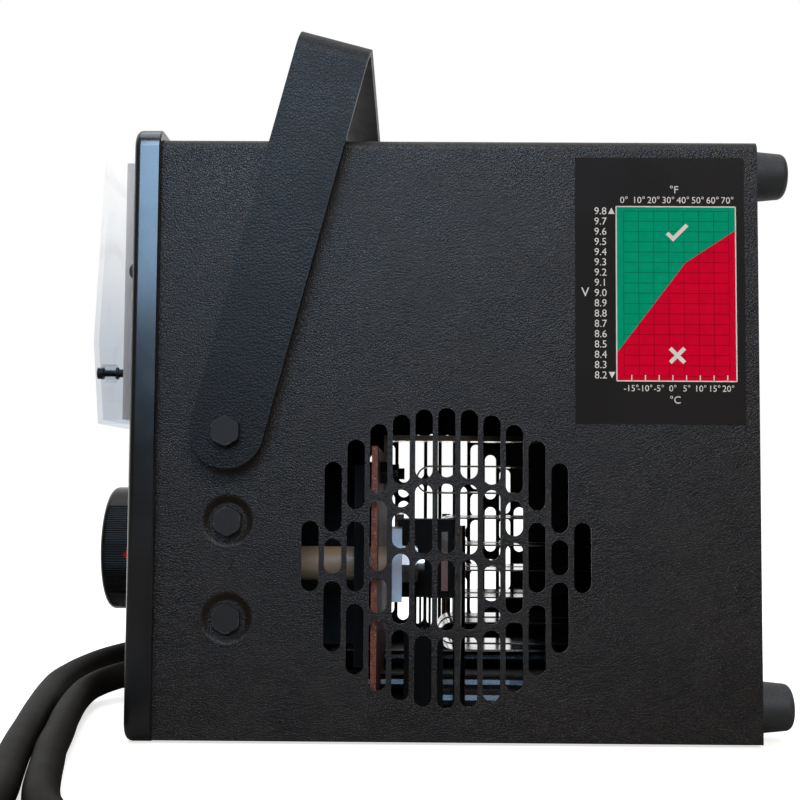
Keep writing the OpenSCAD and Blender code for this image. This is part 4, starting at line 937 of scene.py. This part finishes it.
class TESTER_OT_stage(bpy.types.Operator):
    """Makes the floor, the soft lights and the camera"""
    bl_idname = "tester.stage"
    bl_label = "Stage and Camera"

    def execute(self, context):
        s = settings("stage")
        scene = context.scene
        scene.view_settings.view_transform = "Standard"
        self.world(scene)
        self.floor(s)
        self.lamp("Front Light", place=(0.5, -2.4, 1.9), target=(0, 0, 0.15), size=(1.5, 1.0),
                  power=s.front_light, colour=(1.0, 0.8, 0.62))
        near = self.lamp("Near Light", place=(-0.15, -0.85, 0.8), target=(-0.08, -0.15, 0.26),
                         size=(0.5, 0.3), power=s.near_light, colour=(0.55, 0.75, 1.0))
        self.lamp("Top Light", place=(-0.1, -0.15, 1.9), target=(0, 0, 0.2), size=(1.8, 1.4),
                  power=s.top_light, colour=(0.86, 0.93, 1.0))
        sheen = self.lamp("Sheen Light", place=(-0.3, -2.7, 1.25), target=(-0.3, 0, 1.25),
                          size=(1.8, 1.1), power=s.sheen_light, colour=(0.42, 0.68, 1.0))
        for lamp in (near, sheen):  # these two are only there to be mirrored
            lamp.visible_diffuse = False
        self.camera(scene)
        return {"FINISHED"}

    def world(self, scene):
        """White behind the tester, a dim room in front of it, paler above."""
        world = bpy.data.worlds.new("Soft Surround")
        world.use_nodes = True
        scene.world = world
        tree = world.node_tree
        tree.nodes.clear()
        way = add(tree, "ShaderNodeTexCoord").outputs["Generated"]
        axes = add(tree, "ShaderNodeSeparateXYZ", None, Vector=way).outputs
        room = blend(tree, spread(tree, axes["Z"], 0.0, 0.8), (0.08, 0.065, 0.05),
                     (0.3, 0.33, 0.36))
        around = blend(tree, spread(tree, axes["Y"], -0.1, 0.5), room, (1, 1, 1))
        path = add(tree, "ShaderNodeLightPath").outputs
        plain = add(tree, "ShaderNodeBackground", None, Color=around)
        white = add(tree, "ShaderNodeBackground", None, Color=(1, 1, 1))
        result = tree.nodes.new("ShaderNodeOutputWorld")
        seen = mix_shaders(tree, seen_rays(tree, path), plain, white)
        tree.links.new(seen, result.inputs[0])

    floor_size = 30
    floor_front = -0.85
    floor_sink = 0.0002

    def floor(self, s):
        """A pale floor that looks white, with a painted dark reflection: glossy pieces in front see
        its front part as dim.
        """
        size, front = self.floor_size, self.floor_front
        mesh = bpy.data.meshes.new("Floor")
        mesh.from_pydata([(-size, front, 0), (size, front, 0), (size, size, 0), (-size, size, 0)],
                         [], [(0, 1, 2, 3)])
        floor = bpy.data.objects.new("Floor", mesh)
        bpy.context.scene.collection.objects.link(floor)
        floor.location.z = -self.floor_sink
        material = bpy.data.materials.new("Pale Floor")
        material.use_nodes = True
        mesh.materials.append(material)
        tree = material.node_tree
        shader = tree.nodes["Principled BSDF"]
        shader.inputs["Roughness"].default_value = 0.9
        shader.inputs["Specular IOR Level"].default_value = 0.0
        grain = add(tree, "ShaderNodeTexNoise", None, Scale=0.6, Detail=2.0).outputs["Fac"]
        tone = blend(tree, spread(tree, grain, 0.3, 0.7), s.floor, lighter(s.floor, 1.03))
        path = add(tree, "ShaderNodeLightPath").outputs
        along = add(tree, "ShaderNodeSeparateXYZ", None, Vector=object_place(tree)).outputs["Y"]
        # Painted reflection: glossy rays see the floor's front part nearly black.
        near = calc(tree, "MULTIPLY", path["Is Glossy Ray"], spread(tree, along, 0.2, -0.05))
        far = calc(tree, "SUBTRACT", path["Is Glossy Ray"], near)
        dim = calc(tree, "MULTIPLY", near, 0.85)
        tree.links.new(blend(tree, dim, tone, (0.06, 0.055, 0.05)), shader.inputs["Base Color"])
        seen = calc(tree, "MAXIMUM", seen_rays(tree, path), far)
        shader.inputs["Emission Color"].default_value = (1, 1, 1, 1)
        tree.links.new(calc(tree, "MULTIPLY", seen, 0.7), shader.inputs["Emission Strength"])

    def lamp(self, name, place, target, size, power, colour):
        """A soft rectangular light that faces its target."""
        light = bpy.data.lights.new(name, "AREA")
        light.shape = "RECTANGLE"
        light.size, light.size_y = size
        light.energy = power
        light.color = colour
        lamp = bpy.data.objects.new(name, light)
        bpy.context.scene.collection.objects.link(lamp)
        aim = Vector(target) - Vector(place)
        lamp.rotation_euler = aim.to_track_quat("-Z", "Y").to_euler()
        lamp.location = place
        return lamp

    place = (-0.00167, -0.6824, 0.1097)
    turned = (-0.423, 3.634, 0.383)  # yaw, pitch and roll in degrees
    focal_pixels = 1258.06
    width_pixels = 800
    sensor_width = 36

    def camera(self, scene):
        """View of the tester's side, a little upwards from just above the leads."""
        yaw, pitch, roll = (math.radians(a) for a in self.turned)
        ahead = Vector((math.sin(yaw) * math.cos(pitch), math.cos(yaw) * math.cos(pitch),
                        math.sin(pitch)))
        level = ahead.cross(Vector((0, 0, 1))).normalized()
        upright = level.cross(ahead)
        right = level * math.cos(roll) + upright * math.sin(roll)
        up = upright * math.cos(roll) - level * math.sin(roll)
        data = bpy.data.cameras.new("Camera")
        data.sensor_width = self.sensor_width
        data.lens = self.focal_pixels * self.sensor_width / self.width_pixels
        data.clip_start = 0.01
        camera = bpy.data.objects.new("Camera", data)
        scene.collection.objects.link(camera)
        place = Matrix((right, up, -ahead)).transposed().to_4x4()
        place.translation = self.place
        camera.matrix_world = place
        scene.camera = camera


# ---------- leads and clamps ----------


class TESTER_OT_leads(bpy.types.Operator):
    """Makes the two rubber-covered battery leads"""
    bl_idname = "tester.leads"
    bl_label = "Battery Leads"

    # millimetres and degrees
    tie_angle = 10
    tie_width = 9
    tie_thick = 1.1
    tie_steps = 56       # in one turn
    tie_turns = 1.3
    lap_start = 0.94     # turns before the tie starts to lap over itself
    lap_steps = 4
    lap_lift = 1.1       # in the tie's thickness
    floor_gap = 0.15

    def execute(self, context):
        ends = (("near", NEAR_ROUTE, NEAR_COIL, "red"), ("far", FAR_ROUTE, FAR_COIL, "black"))
        for side, route, coil, colour in ends:
            path = lead_path(route, coil)
            lead = lead_curve(side + "_battery_lead", path)
            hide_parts(side + "_lead", side + "_coil")
            pieces = [NODES[colour + end] for end in ("_fixed_grip", "_jaw", "_grip")]
            pieces.append(self.tie(side + "_coil_tie", coil))
            if side == "near":
                pieces += [NODES["clamp_frames"], NODES["clamp_pins"]]
        return {"FINISHED"}

    def tie(self, name, centre):
        """A webbing strap pulled round both turns of a coil, its end lapped over itself."""
        turn = math.radians(self.tie_angle)
        out = Vector((math.cos(turn), math.sin(turn), 0))
        along = Vector((-math.sin(turn), math.cos(turn), 0))
        middle = Vector((*centre, LEAD_D)) + COIL_R * out
        half, steps = self.tie_width / 2, self.tie_steps
        rings = []
        for i in range(round(steps * self.tie_turns)):
            lap = min(1, max(0, (i - steps * self.lap_start) / self.lap_steps))
            a = 2 * math.pi * i / steps - math.pi / 2
            ring = []
            for side, level in ((-half, 0), (half, 0), (half, 1), (-half, 1)):
                r = LEAD_D / 2 + self.tie_thick * (level + self.lap_lift * lap)
                z = r * math.sin(a) + math.copysign(LEAD_D / 2, math.sin(a) or 1)
                p = middle + out * r * math.cos(a) + along * side + Vector((0, 0, z))
                p.z = max(p.z, self.floor_gap + (1 - level) * self.tie_thick)
                ring.append(p * mm)
            rings.append(ring)
        points, faces = loft(rings, caps=True)
        tie = mesh_piece(name, points, faces, tie_webbing())
        return sharpen(tie, 40)


class TESTER_OT_clamps(bpy.types.Operator):
    """Finishes the battery clamps and winds their springs"""
    bl_idname = "tester.clamps"
    bl_label = "Battery Clamps"

    wire = 0.00105       # radius of a spring's wire
    coil_radius = 0.0043
    pitch = 2.1          # rise of one turn, in wire radii
    turn_steps = 16
    wire_sides = 8

    def execute(self, context):
        dress("clamps", "red_grips", "black_grips")
        low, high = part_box("clamp_springs")
        coils = [tube(self.coil(joint["pos_m"], low.z, high.z), self.wire, self.wire_sides)
                 for joint in frame["joints"] if joint["name"].endswith("_clamp_open")]
        points, faces = joined(coils)
        springs = mesh_piece("clamp_spring_coils", points, faces, zinc_plate())
        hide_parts("clamp_springs")
        return {"FINISHED"}

    def coil(self, pin, low, high):
        """Middle line of a spring wound round a clamp's pin, between two heights."""
        turns = (high - low - 2 * self.wire) / (self.pitch * self.wire)
        path = []
        for i in range(round(turns * self.turn_steps) + 1):
            a = 2 * math.pi * i / self.turn_steps
            path.append(Vector((pin[0] + self.coil_radius * math.cos(a),
                                pin[1] + self.coil_radius * math.sin(a),
                                low + self.wire * (1 + self.pitch * i / self.turn_steps))))
        return path


# ---------- case ----------


class TESTER_OT_case(bpy.types.Operator):
    """Finishes the case, its handle, bolts and feet"""
    bl_idname = "tester.case"
    bl_label = "Case and Handle"

    def execute(self, context):
        dress("case", "strap", "bolts", "feet")
        return {"FINISHED"}


class TESTER_OT_bezel(bpy.types.Operator):
    """Makes the moulded front bezel with its rounded edges"""
    bl_idname = "tester.bezel"
    bl_label = "Front Bezel"

    corner = 0.009
    rim_bottom = 0.004
    rim_side = 0.0115
    rim_top = 0.0075
    pocket = 0.0035
    pocket_corner = 0.003
    ledge = 0.006
    lip = 0.0006
    seat = 0.0003
    seat_corner = 0.004
    seat_depth = 0.001
    edge_steps = 8
    lip_steps = 4
    way_gap = 0.0003     # gap round a lead's bushing
    way_front = 0.002    # from the bezel's front to where the way starts
    way_past = 0.004     # how far the cutter goes past the bezel's back
    way_sides = 40

    def execute(self, context):
        front, back = BEZEL_LOW.x, BEZEL_HIGH.x
        half, top = BEZEL_HIGH.y, BEZEL_HIGH.z
        edge = settings("case").edge_radius
        case_half, case_top = CASE_HIGH.y + self.seat, CASE_HIGH.z + self.seat
        inner, lip = half - self.rim_side, self.lip
        seat = (case_half, CASE_LOW.z - self.seat, case_top, self.seat_corner)
        rings = [rounded_ring(back - self.seat_depth, *seat),
                 rounded_ring(back, *seat),
                 rounded_ring(back, half - lip, lip, top - lip, self.corner - lip),
                 rounded_ring(back - lip, half, 0, top, self.corner)]
        for step in range(self.edge_steps + 1):
            a = math.radians(90 * step / self.edge_steps)
            inset = edge * (1 - math.cos(a))
            rings.append(rounded_ring(front + edge * (1 - math.sin(a)), half - inset, inset,
                                      top - inset, self.corner - inset))
        low, high = self.rim_bottom, top - self.rim_top
        for step in range(self.lip_steps + 1):
            a = math.radians(90 * step / self.lip_steps)
            grow = lip * (1 - math.sin(a))
            rings.append(rounded_ring(front + lip * (1 - math.cos(a)), inner + grow, low - grow,
                                      high + grow, self.pocket_corner + grow))
        rings.append(rounded_ring(front + self.pocket, inner, low, high, self.pocket_corner))
        opening = (inner - self.ledge, low + self.ledge, high - self.ledge, self.pocket_corner)
        rings.append(rounded_ring(front + self.pocket, *opening))
        rings.append(rounded_ring(back - self.seat_depth, *opening))
        points, faces = loft(rings, loop=True)
        bezel = mesh_piece("moulded_bezel", points, [f[::-1] for f in faces], bezel_moulding())
        sharpen(bezel, 40)
        self.bore(bezel)
        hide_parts("front_bezel")
        return {"FINISHED"}

    def bore(self, bezel):
        """Cuts the two round ways for the leads through the lower ledge."""
        low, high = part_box("cable_bushings")
        radius, middle = (high.z - low.z) / 2, (high.z + low.z) / 2
        start, end = BEZEL_LOW.x + self.way_front, BEZEL_HIGH.x + self.way_past
        ways = [[Vector((x, side * (high.y - radius), middle)) for x in (start, end)]
                for side in (-1, 1)]
        points, faces = joined(tube(way, radius + self.way_gap, self.way_sides) for way in ways)
        cutter = mesh_piece("lead_ways", points, faces, bezel_moulding())
        cut = bezel.modifiers.new("Lead Ways", "BOOLEAN")
        cut.operation = "DIFFERENCE"
        cut.solver = "EXACT"
        cut.object = cutter
        bpy.context.view_layer.update()
        done = bpy.data.meshes.new_from_object(
            bezel.evaluated_get(bpy.context.evaluated_depsgraph_get()))
        bezel.modifiers.clear()
        bezel.data = done
        bpy.data.objects.remove(cutter)


# ---------- label ----------


class TESTER_OT_label(bpy.types.Operator):
    """Prints the two-field chart on the side label"""
    bl_idname = "tester.label"
    bl_label = "Chart Label"

    # millimetres from the label's left and top edges; a row is first, last and count
    chart = (17.4, 21.1, 68.0, 95.5)
    knees = ((17.4, 83.8), (46.7, 45.1), (68.0, 31.1))
    grid_x = (20.5, 65.1, 8)
    grid_y = (23.0, 93.4, 17)
    lower_ticks = (23.7, 64.1, 8)
    tick = 2.5
    volt_row = (23.2, 93.2, 17)
    volt_right = 13.4
    upper_row = (20.8, 64.7, 8)
    upper_level = 18.4
    lower_row = (23.5, 64.4, 8)
    lower_level = 98.7
    arrow_x = 15.4
    arrow_ends = ((23.0, -1), (93.0, 1))
    units = (("V", 4.2, 58.0, 1.25), ("°F", 42.0, 13.9, 1), ("°C", 42.0, 103.6, 1))
    tick_place = (43.0, 32.6)
    cross_place = (43.0, 84.6)

    shortest = 0.4       # a grid line shorter than this is left out

    # metres above the label
    field_lift = 0.00003
    grid_lift = 0.00005
    ink_lift = 0.00008

    # metres wide
    grid_line = 0.00034
    frame_line = 0.0005
    tick_line = 0.00045

    def execute(self, context):
        dress("label")
        s = settings("label")
        plane = plane_at((LABEL_LOW.x, LABEL_LOW.y, LABEL_HIGH.z), (1, 0, 0), (0, 0, 1))
        u0, v0, u1, v1 = self.chart
        self.field("chart_upper_field", plane, ink("Chart Green", s.upper),
                   ((u0, v0), *self.knees, (u1, v0)))
        self.field("chart_lower_field", plane, ink("Chart Red", s.lower),
                   ((u0, v1), (u1, v1), *self.knees[::-1]))
        self.grid(plane)
        self.white_ink(plane, s)
        return {"FINISHED"}

    def spot(self, u, v):
        """The place on the print of a point on the label."""
        return (u * mm, -v * mm)

    def field(self, name, plane, material, outline):
        """One plain coloured field of the chart."""
        field = Print(plane, self.field_lift)
        field.shape([self.spot(*p) for p in outline])
        field.piece(name, material, "label_vinyl")

    def stations(self, first, last, count):
        """Evenly spaced places of a row."""
        return [first + (last - first) * i / (count - 1) for i in range(count)]

    def knee_level(self, u):
        """Height of the line between the two fields at u."""
        a, b = self.knees[:2] if u < self.knees[1][0] else self.knees[1:]
        return a[1] + (b[1] - a[1]) * (u - a[0]) / (b[0] - a[0])

    def knee_cross(self, v):
        """Where the line between the two fields crosses the height v."""
        a, b = self.knees[:2] if v > self.knees[1][1] else self.knees[1:]
        return a[0] + (b[0] - a[0]) * (v - a[1]) / (b[1] - a[1])

    def grid(self, plane):
        """Fine darker lines over both fields."""
        upper, lower = [], []
        x0, x1 = self.grid_x[:2]
        y0, y1 = self.grid_y[:2]
        for u in self.stations(*self.grid_x):
            knee = self.knee_level(u)
            upper.append(((u, y0), (u, knee)))
            lower.append(((u, knee), (u, y1)))
        for v in self.stations(*self.grid_y):
            cross = min(x1, max(x0, self.knee_cross(v)))
            upper.append(((x0, v), (cross, v)))
            lower.append(((cross, v), (x1, v)))
        for field, lines, colour in (("upper", upper, (0.0, 0.24, 0.14)),
                                     ("lower", lower, (0.5, 0.0, 0.022))):
            fine = Print(plane, self.grid_lift)
            for a, b in lines:
                if (Vector(a) - Vector(b)).length > self.shortest:
                    fine.line(self.spot(*a), self.spot(*b), self.grid_line)
            fine.piece(f"chart_{field}_grid", ink(f"Chart {field.title()} Grid", colour),
                       "label_vinyl")

    def white_ink(self, plane, s):
        """White frame, ticks, figures and the two plain marks."""
        white = Print(plane, self.ink_lift)
        u0, v0, u1, v1 = self.chart
        for a, b in (((u0, v0), (u1, v0)), ((u0, v1), (u1, v1)), ((u0, v0), (u0, v1)),
                     ((u1, v0), (u1, v1))):
            white.line(self.spot(*a), self.spot(*b), self.frame_line)
        for u in self.stations(*self.lower_ticks):
            white.line(self.spot(u, v1), self.spot(u, v1 - self.tick), self.tick_line)
        size = s.figure
        for i, v in enumerate(self.stations(*self.volt_row)):
            white.figures(f"{9.8 - 0.1 * i:.1f}", *self.spot(self.volt_right, v), size, "RIGHT")
        for i, u in enumerate(self.stations(*self.upper_row)):
            white.figures(f"{10 * i}°", *self.spot(u, self.upper_level), size * 0.9)
        for i, u in enumerate(self.stations(*self.lower_row)):
            white.figures(f"{5 * i - 15}°", *self.spot(u, self.lower_level), size * 0.85)
        for v, tip in self.arrow_ends:
            corners = [(self.arrow_x - 1.4, v - tip * 1.3), (self.arrow_x + 1.4, v - tip * 1.3),
                       (self.arrow_x, v + tip * 1.4)]
            white.shape([self.spot(*p) for p in corners[::-tip]])
        for unit, u, v, share in self.units:
            white.figures(unit, *self.spot(u, v), size * share)
        self.plain_marks(white)
        white.piece("chart_ink", ink("Pale Ink", s.ink), "label_vinyl")

    def plain_marks(self, white):
        """A tick in the upper field and a cross in the lower one."""
        u, v = self.tick_place
        tick = ((-4.6, 0.4), (-3.4, -0.8), (-1.5, 1.1), (3.9, -4.3), (5.1, -3.1), (-1.5, 3.5))
        white.shape([self.spot(u + a, v + b) for a, b in tick][::-1])
        u, v = self.cross_place
        arm, half = 4.29, 0.85
        cross = []
        for quarter in range(4):
            a = math.radians(45 + 90 * quarter)
            c, d = math.cos(a), math.sin(a)
            for along, side in ((half, -half), (arm, -half), (arm, half)):
                cross.append((along * c - side * d, along * d + side * c))
        white.shape([self.spot(u + a, v - b) for a, b in cross])


# ---------- load control ----------


class TESTER_OT_knob(bpy.types.Operator):
    """Makes the ribbed load knob with its bright inlay and red mark"""
    bl_idname = "tester.knob"
    bl_label = "Load Knob"

    ridges = 41
    ridge_arc = 86       # degrees covered by the ribs of one side
    ridge_shape = ((-0.74, 1), (-0.5, 0.15), (0, 0), (0.5, 0.15), (0.74, 1))
    ridge_depth = 0.0008
    front_edge = 0.0032
    front_steps = 7
    plain_steps = 5      # steps of the front edge that have no ribs yet
    back_edge = 0.0008
    seat = 0.002         # innermost ring of the inlay's flat seat
    inlay_gap = 0.0001
    inlay_edge = 0.0003
    skirt = 0.005        # thickness of the wall round the hollow back
    hollow = 0.012
    hub = 0.01235
    screw = 0.00635
    screw_cover = 0.003  # plastic between the screw's end and the inlay
    mark_front = 0.0121
    mark_drop = 0.0018
    mark_point = 0.0021
    mark_length = 0.0038
    mark_half = 0.0023
    mark_root = 0.0012

    def execute(self, context):
        dress("spun")
        front, back, floor = KNOB_LOW.x, KNOB_HIGH.x, INLAY_HIGH.x
        outline = self.outline()
        inlay = INLAY_HIGH.z - KNOB_MIDDLE + self.inlay_gap
        wall = KNOB_RADIUS - self.skirt
        sections = [(floor, self.seat, False), (floor, inlay, False),
                    (front + self.inlay_edge, inlay, False),
                    (front, inlay + self.inlay_edge, False)]
        for step in range(self.front_steps + 1):
            a = math.radians(90 * step / self.front_steps)
            sections.append((front + self.front_edge * (1 - math.cos(a)),
                             KNOB_RADIUS - self.front_edge * (1 - math.sin(a)),
                             step >= self.plain_steps))
        sections += [(back - self.back_edge, KNOB_RADIUS, True),
                     (back, KNOB_RADIUS - self.back_edge, True), (back, wall, False),
                     (back - self.hollow, wall, False), (back - self.hollow, self.hub, False),
                     (back, self.hub, False), (back, self.screw, False),
                     (floor + self.screw_cover, self.screw, False)]
        points, faces = loft([self.ring(outline, *section) for section in sections], caps=True)
        knob = mesh_piece("ribbed_knob", points, faces, gloss_knob(), "knob")
        sharpen(knob, 28)
        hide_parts("load_knob")
        self.mark()
        return {"FINISHED"}

    def outline(self):
        """Angles round the knob, each with how deep the surface lies there."""
        spots = []
        for half in (0, 180):
            spots += [(a + half, 0) for a in range(-45, 46, 3)]
            for k in range(self.ridges):
                turn = (k - (self.ridges - 1) / 2) * self.ridge_arc / (self.ridges - 1)
                spots += [(90 + half + turn + a, depth) for a, depth in self.ridge_shape]
        return spots

    def ring(self, outline, x, radius, ribbed):
        """The knob's outline at x, with its ribs or without them."""
        ring = []
        for angle, depth in outline:
            r = radius - (depth * self.ridge_depth if ribbed else 0)
            a = math.radians(angle)
            ring.append((x, r * math.sin(a), KNOB_MIDDLE - r * math.cos(a)))
        return ring

    def mark(self):
        """Red pointer set into the ribs of the side."""
        tip, z = KNOB_LOW.x + self.mark_front, KNOB_MIDDLE - self.mark_drop
        side, base, half = tip + self.mark_point, tip + self.mark_length, self.mark_half
        red = Print(plane_at((0, -KNOB_RADIUS - 0.00002, 0), (1, 0, 0), (0, 0, 1)), 0.00002)
        red.shape([(tip, z), (side, z - half), (base, z - half), (base, z + half),
                   (side, z + half)])
        for i, p in enumerate(red.points):
            if p.y > -KNOB_RADIUS:
                red.points[i] = p + Vector((0, self.mark_root, 0))
        red.piece("knob_mark", ink("Mark Red", (0.62, 0.01, 0.02)), "knob_moulding", "knob")


class TESTER_OT_panel(bpy.types.Operator):
    """Finishes the front panel and prints its plain load scale"""
    bl_idname = "tester.panel"
    bl_label = "Front Panel"

    sweep = 60           # degrees from straight up to either end of the scale
    ticks = 10
    tick_start = 0.004   # metres outside the knob, like the next two
    band_inner = 0.0118
    band_outer = 0.0126
    long_tick = 0.0055
    short_tick = 0.0035
    tick_line = 0.0008
    arrow_turn = 66
    arrow_length = 0.0055
    arrow_half = 0.0024

    def execute(self, context):
        dress("panel")
        white = Print(plane_at((PANEL_LOW.x, 0, KNOB_MIDDLE), (0, -1, 0), (0, 0, 1)))
        end = math.radians(self.sweep)
        near = KNOB_RADIUS + self.tick_start
        for i in range(self.ticks + 1):
            a = end * (2 * i / self.ticks - 1)
            far = near + (self.short_tick if i % 5 else self.long_tick)
            white.line(at_angle(near, a), at_angle(far, a), self.tick_line)
        white.band(KNOB_RADIUS + self.band_inner, KNOB_RADIUS + self.band_outer, -end, end)
        middle = KNOB_RADIUS + (self.band_inner + self.band_outer) / 2
        centre = Vector(at_angle(middle, end))
        turn = math.radians(self.arrow_turn)
        ahead = Vector((math.cos(turn), -math.sin(turn)))
        side = Vector((-ahead.y, ahead.x)) * self.arrow_half
        white.shape([tuple(centre - side), tuple(centre + ahead * self.arrow_length),
                     tuple(centre + side)])
        white.piece("panel_scale", ink("Pale Ink", settings("label").ink), "panel_paint")
        return {"FINISHED"}


# ---------- meters ----------


class TESTER_OT_meters(bpy.types.Operator):
    """Finishes both meters and prints their dials"""
    bl_idname = "tester.meters"
    bl_label = "Panel Meters"

    # unit, numbers, parts between two numbers, and bands as (start, end) and colour
    scales = {
        "volt": ("V", ("0", "4", "8", "12", "16"), 4,
                 (((0.0, 0.56), (0.62, 0.03, 0.02)), ((0.56, 0.66), (0.75, 0.5, 0.02)),
                  ((0.66, 1.0), (0.02, 0.3, 0.12)))),
        "amp": ("A", ("0", "100", "200", "300", "400", "500"), 5,
                (((0.0, 1.0), (0.06, 0.06, 0.06)),)),
    }
    long_tick = 0.006
    short_tick = 0.0035
    bold_line = 0.0007
    fine_line = 0.0004
    arc_half = 0.0003    # half the width of the scale's arc
    figures_out = 0.0102
    squeeze = 0.97       # brings the figures a little closer together
    unit_level = 0.03
    band_inner = 0.0065  # metres inside the scale's arc, like the next one
    band_outer = 0.0012
    band_lift = 0.00004

    def execute(self, context):
        dress("meter_bodies", "dials", "needles", "covers")
        s = settings("meters")
        for meter, (unit, numbers, parts, bands) in self.scales.items():
            joint = next(j for j in frame["joints"] if j["name"] == meter + "_needle_swing")
            plane = plane_at((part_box(meter + "_dial")[0].x, *joint["pos_m"][1:]), (0, -1, 0),
                             (0, 0, 1))
            self.scale(meter, plane, s, unit, numbers, parts)
            self.bands(meter, plane, s, bands)
        return {"FINISHED"}

    def scale(self, meter, plane, s, unit, numbers, parts):
        """Black arc, ticks and figures of a dial."""
        radius, sweep = s.scale_radius, s.sweep
        steps = (len(numbers) - 1) * parts
        black = Print(plane)
        for i in range(steps + 1):
            a = sweep * (i / steps - 0.5)
            size, width = ((self.short_tick, self.fine_line) if i % parts
                           else (self.long_tick, self.bold_line))
            black.line(at_angle(radius, a), at_angle(radius + size, a), width)
        black.band(radius - self.arc_half, radius + self.arc_half, -sweep / 2, sweep / 2)
        for i, number in enumerate(numbers):
            a = sweep * (i / (len(numbers) - 1) - 0.5)
            x, y = at_angle(radius + self.figures_out, a)
            black.figures(number, x * self.squeeze, y, s.figure * 0.75)
        black.figures(unit, 0, self.unit_level, s.figure * 1.3)
        black.piece(meter + "_scale", ink("Dial Black", (0.015, 0.015, 0.015)), "dial_card")

    def bands(self, meter, plane, s, bands):
        """Coloured bands under a dial's arc."""
        for k, ((start, end), colour) in enumerate(bands):
            field = Print(plane, self.band_lift)
            field.band(s.scale_radius - self.band_inner, s.scale_radius - self.band_outer,
                       s.sweep * (start - 0.5), s.sweep * (end - 0.5))
            field.piece(f"{meter}_band_{k + 1}", ink(f"{meter.title()} Band {k + 1}", colour),
                        "dial_card")


# ---------- inside ----------


class TESTER_OT_inside(bpy.types.Operator):
    """Finishes the carbon pile, the board, the ribbons and the inner cables"""
    bl_idname = "tester.inside"
    bl_label = "Pile and Ribbons"

    def execute(self, context):
        dress("inside", "plating", "bright", "brass", "strap_bar", "ribbons", "carbon", "ceramic",
              "fibre", "inner_cables")
        return {"FINISHED"}


# ---------- panel and registration ----------

OPERATORS = (TESTER_OT_stage, TESTER_OT_leads, TESTER_OT_case, TESTER_OT_bezel, TESTER_OT_label,
             TESTER_OT_panel, TESTER_OT_knob, TESTER_OT_meters, TESTER_OT_inside,
             TESTER_OT_clamps)


class TESTER_PT_parts(bpy.types.Panel):
    """Lists the steps that build the tester's looks"""
    bl_idname = "TESTER_PT_parts"
    bl_label = "Load Tester"
    bl_space_type = "VIEW_3D"
    bl_region_type = "UI"
    bl_category = "Tester"

    def draw(self, context):
        for name in SETTINGS:
            group = settings(name)
            box = self.layout.box()
            for key in group.bl_rna.properties.keys():
                if key not in ("rna_type", "name"):
                    box.prop(group, key)
        for operator in OPERATORS:
            self.layout.operator(operator.bl_idname)


CLASSES = (*SETTINGS.values(), *OPERATORS, TESTER_PT_parts)


def register():
    for entry in CLASSES:
        bpy.utils.register_class(entry)
    for name, group in SETTINGS.items():
        setattr(bpy.types.Scene, "tester_" + name, PointerProperty(type=group))


def unregister():
    for name in SETTINGS:
        delattr(bpy.types.Scene, "tester_" + name)
    for entry in reversed(CLASSES):
        bpy.utils.unregister_class(entry)


def main():
    register()
    for operator in OPERATORS:
        family, action = operator.bl_idname.split(".")
        getattr(getattr(bpy.ops, family), action)()
    bpy.context.view_layer.update()


if __name__ == "__main__":
    main()
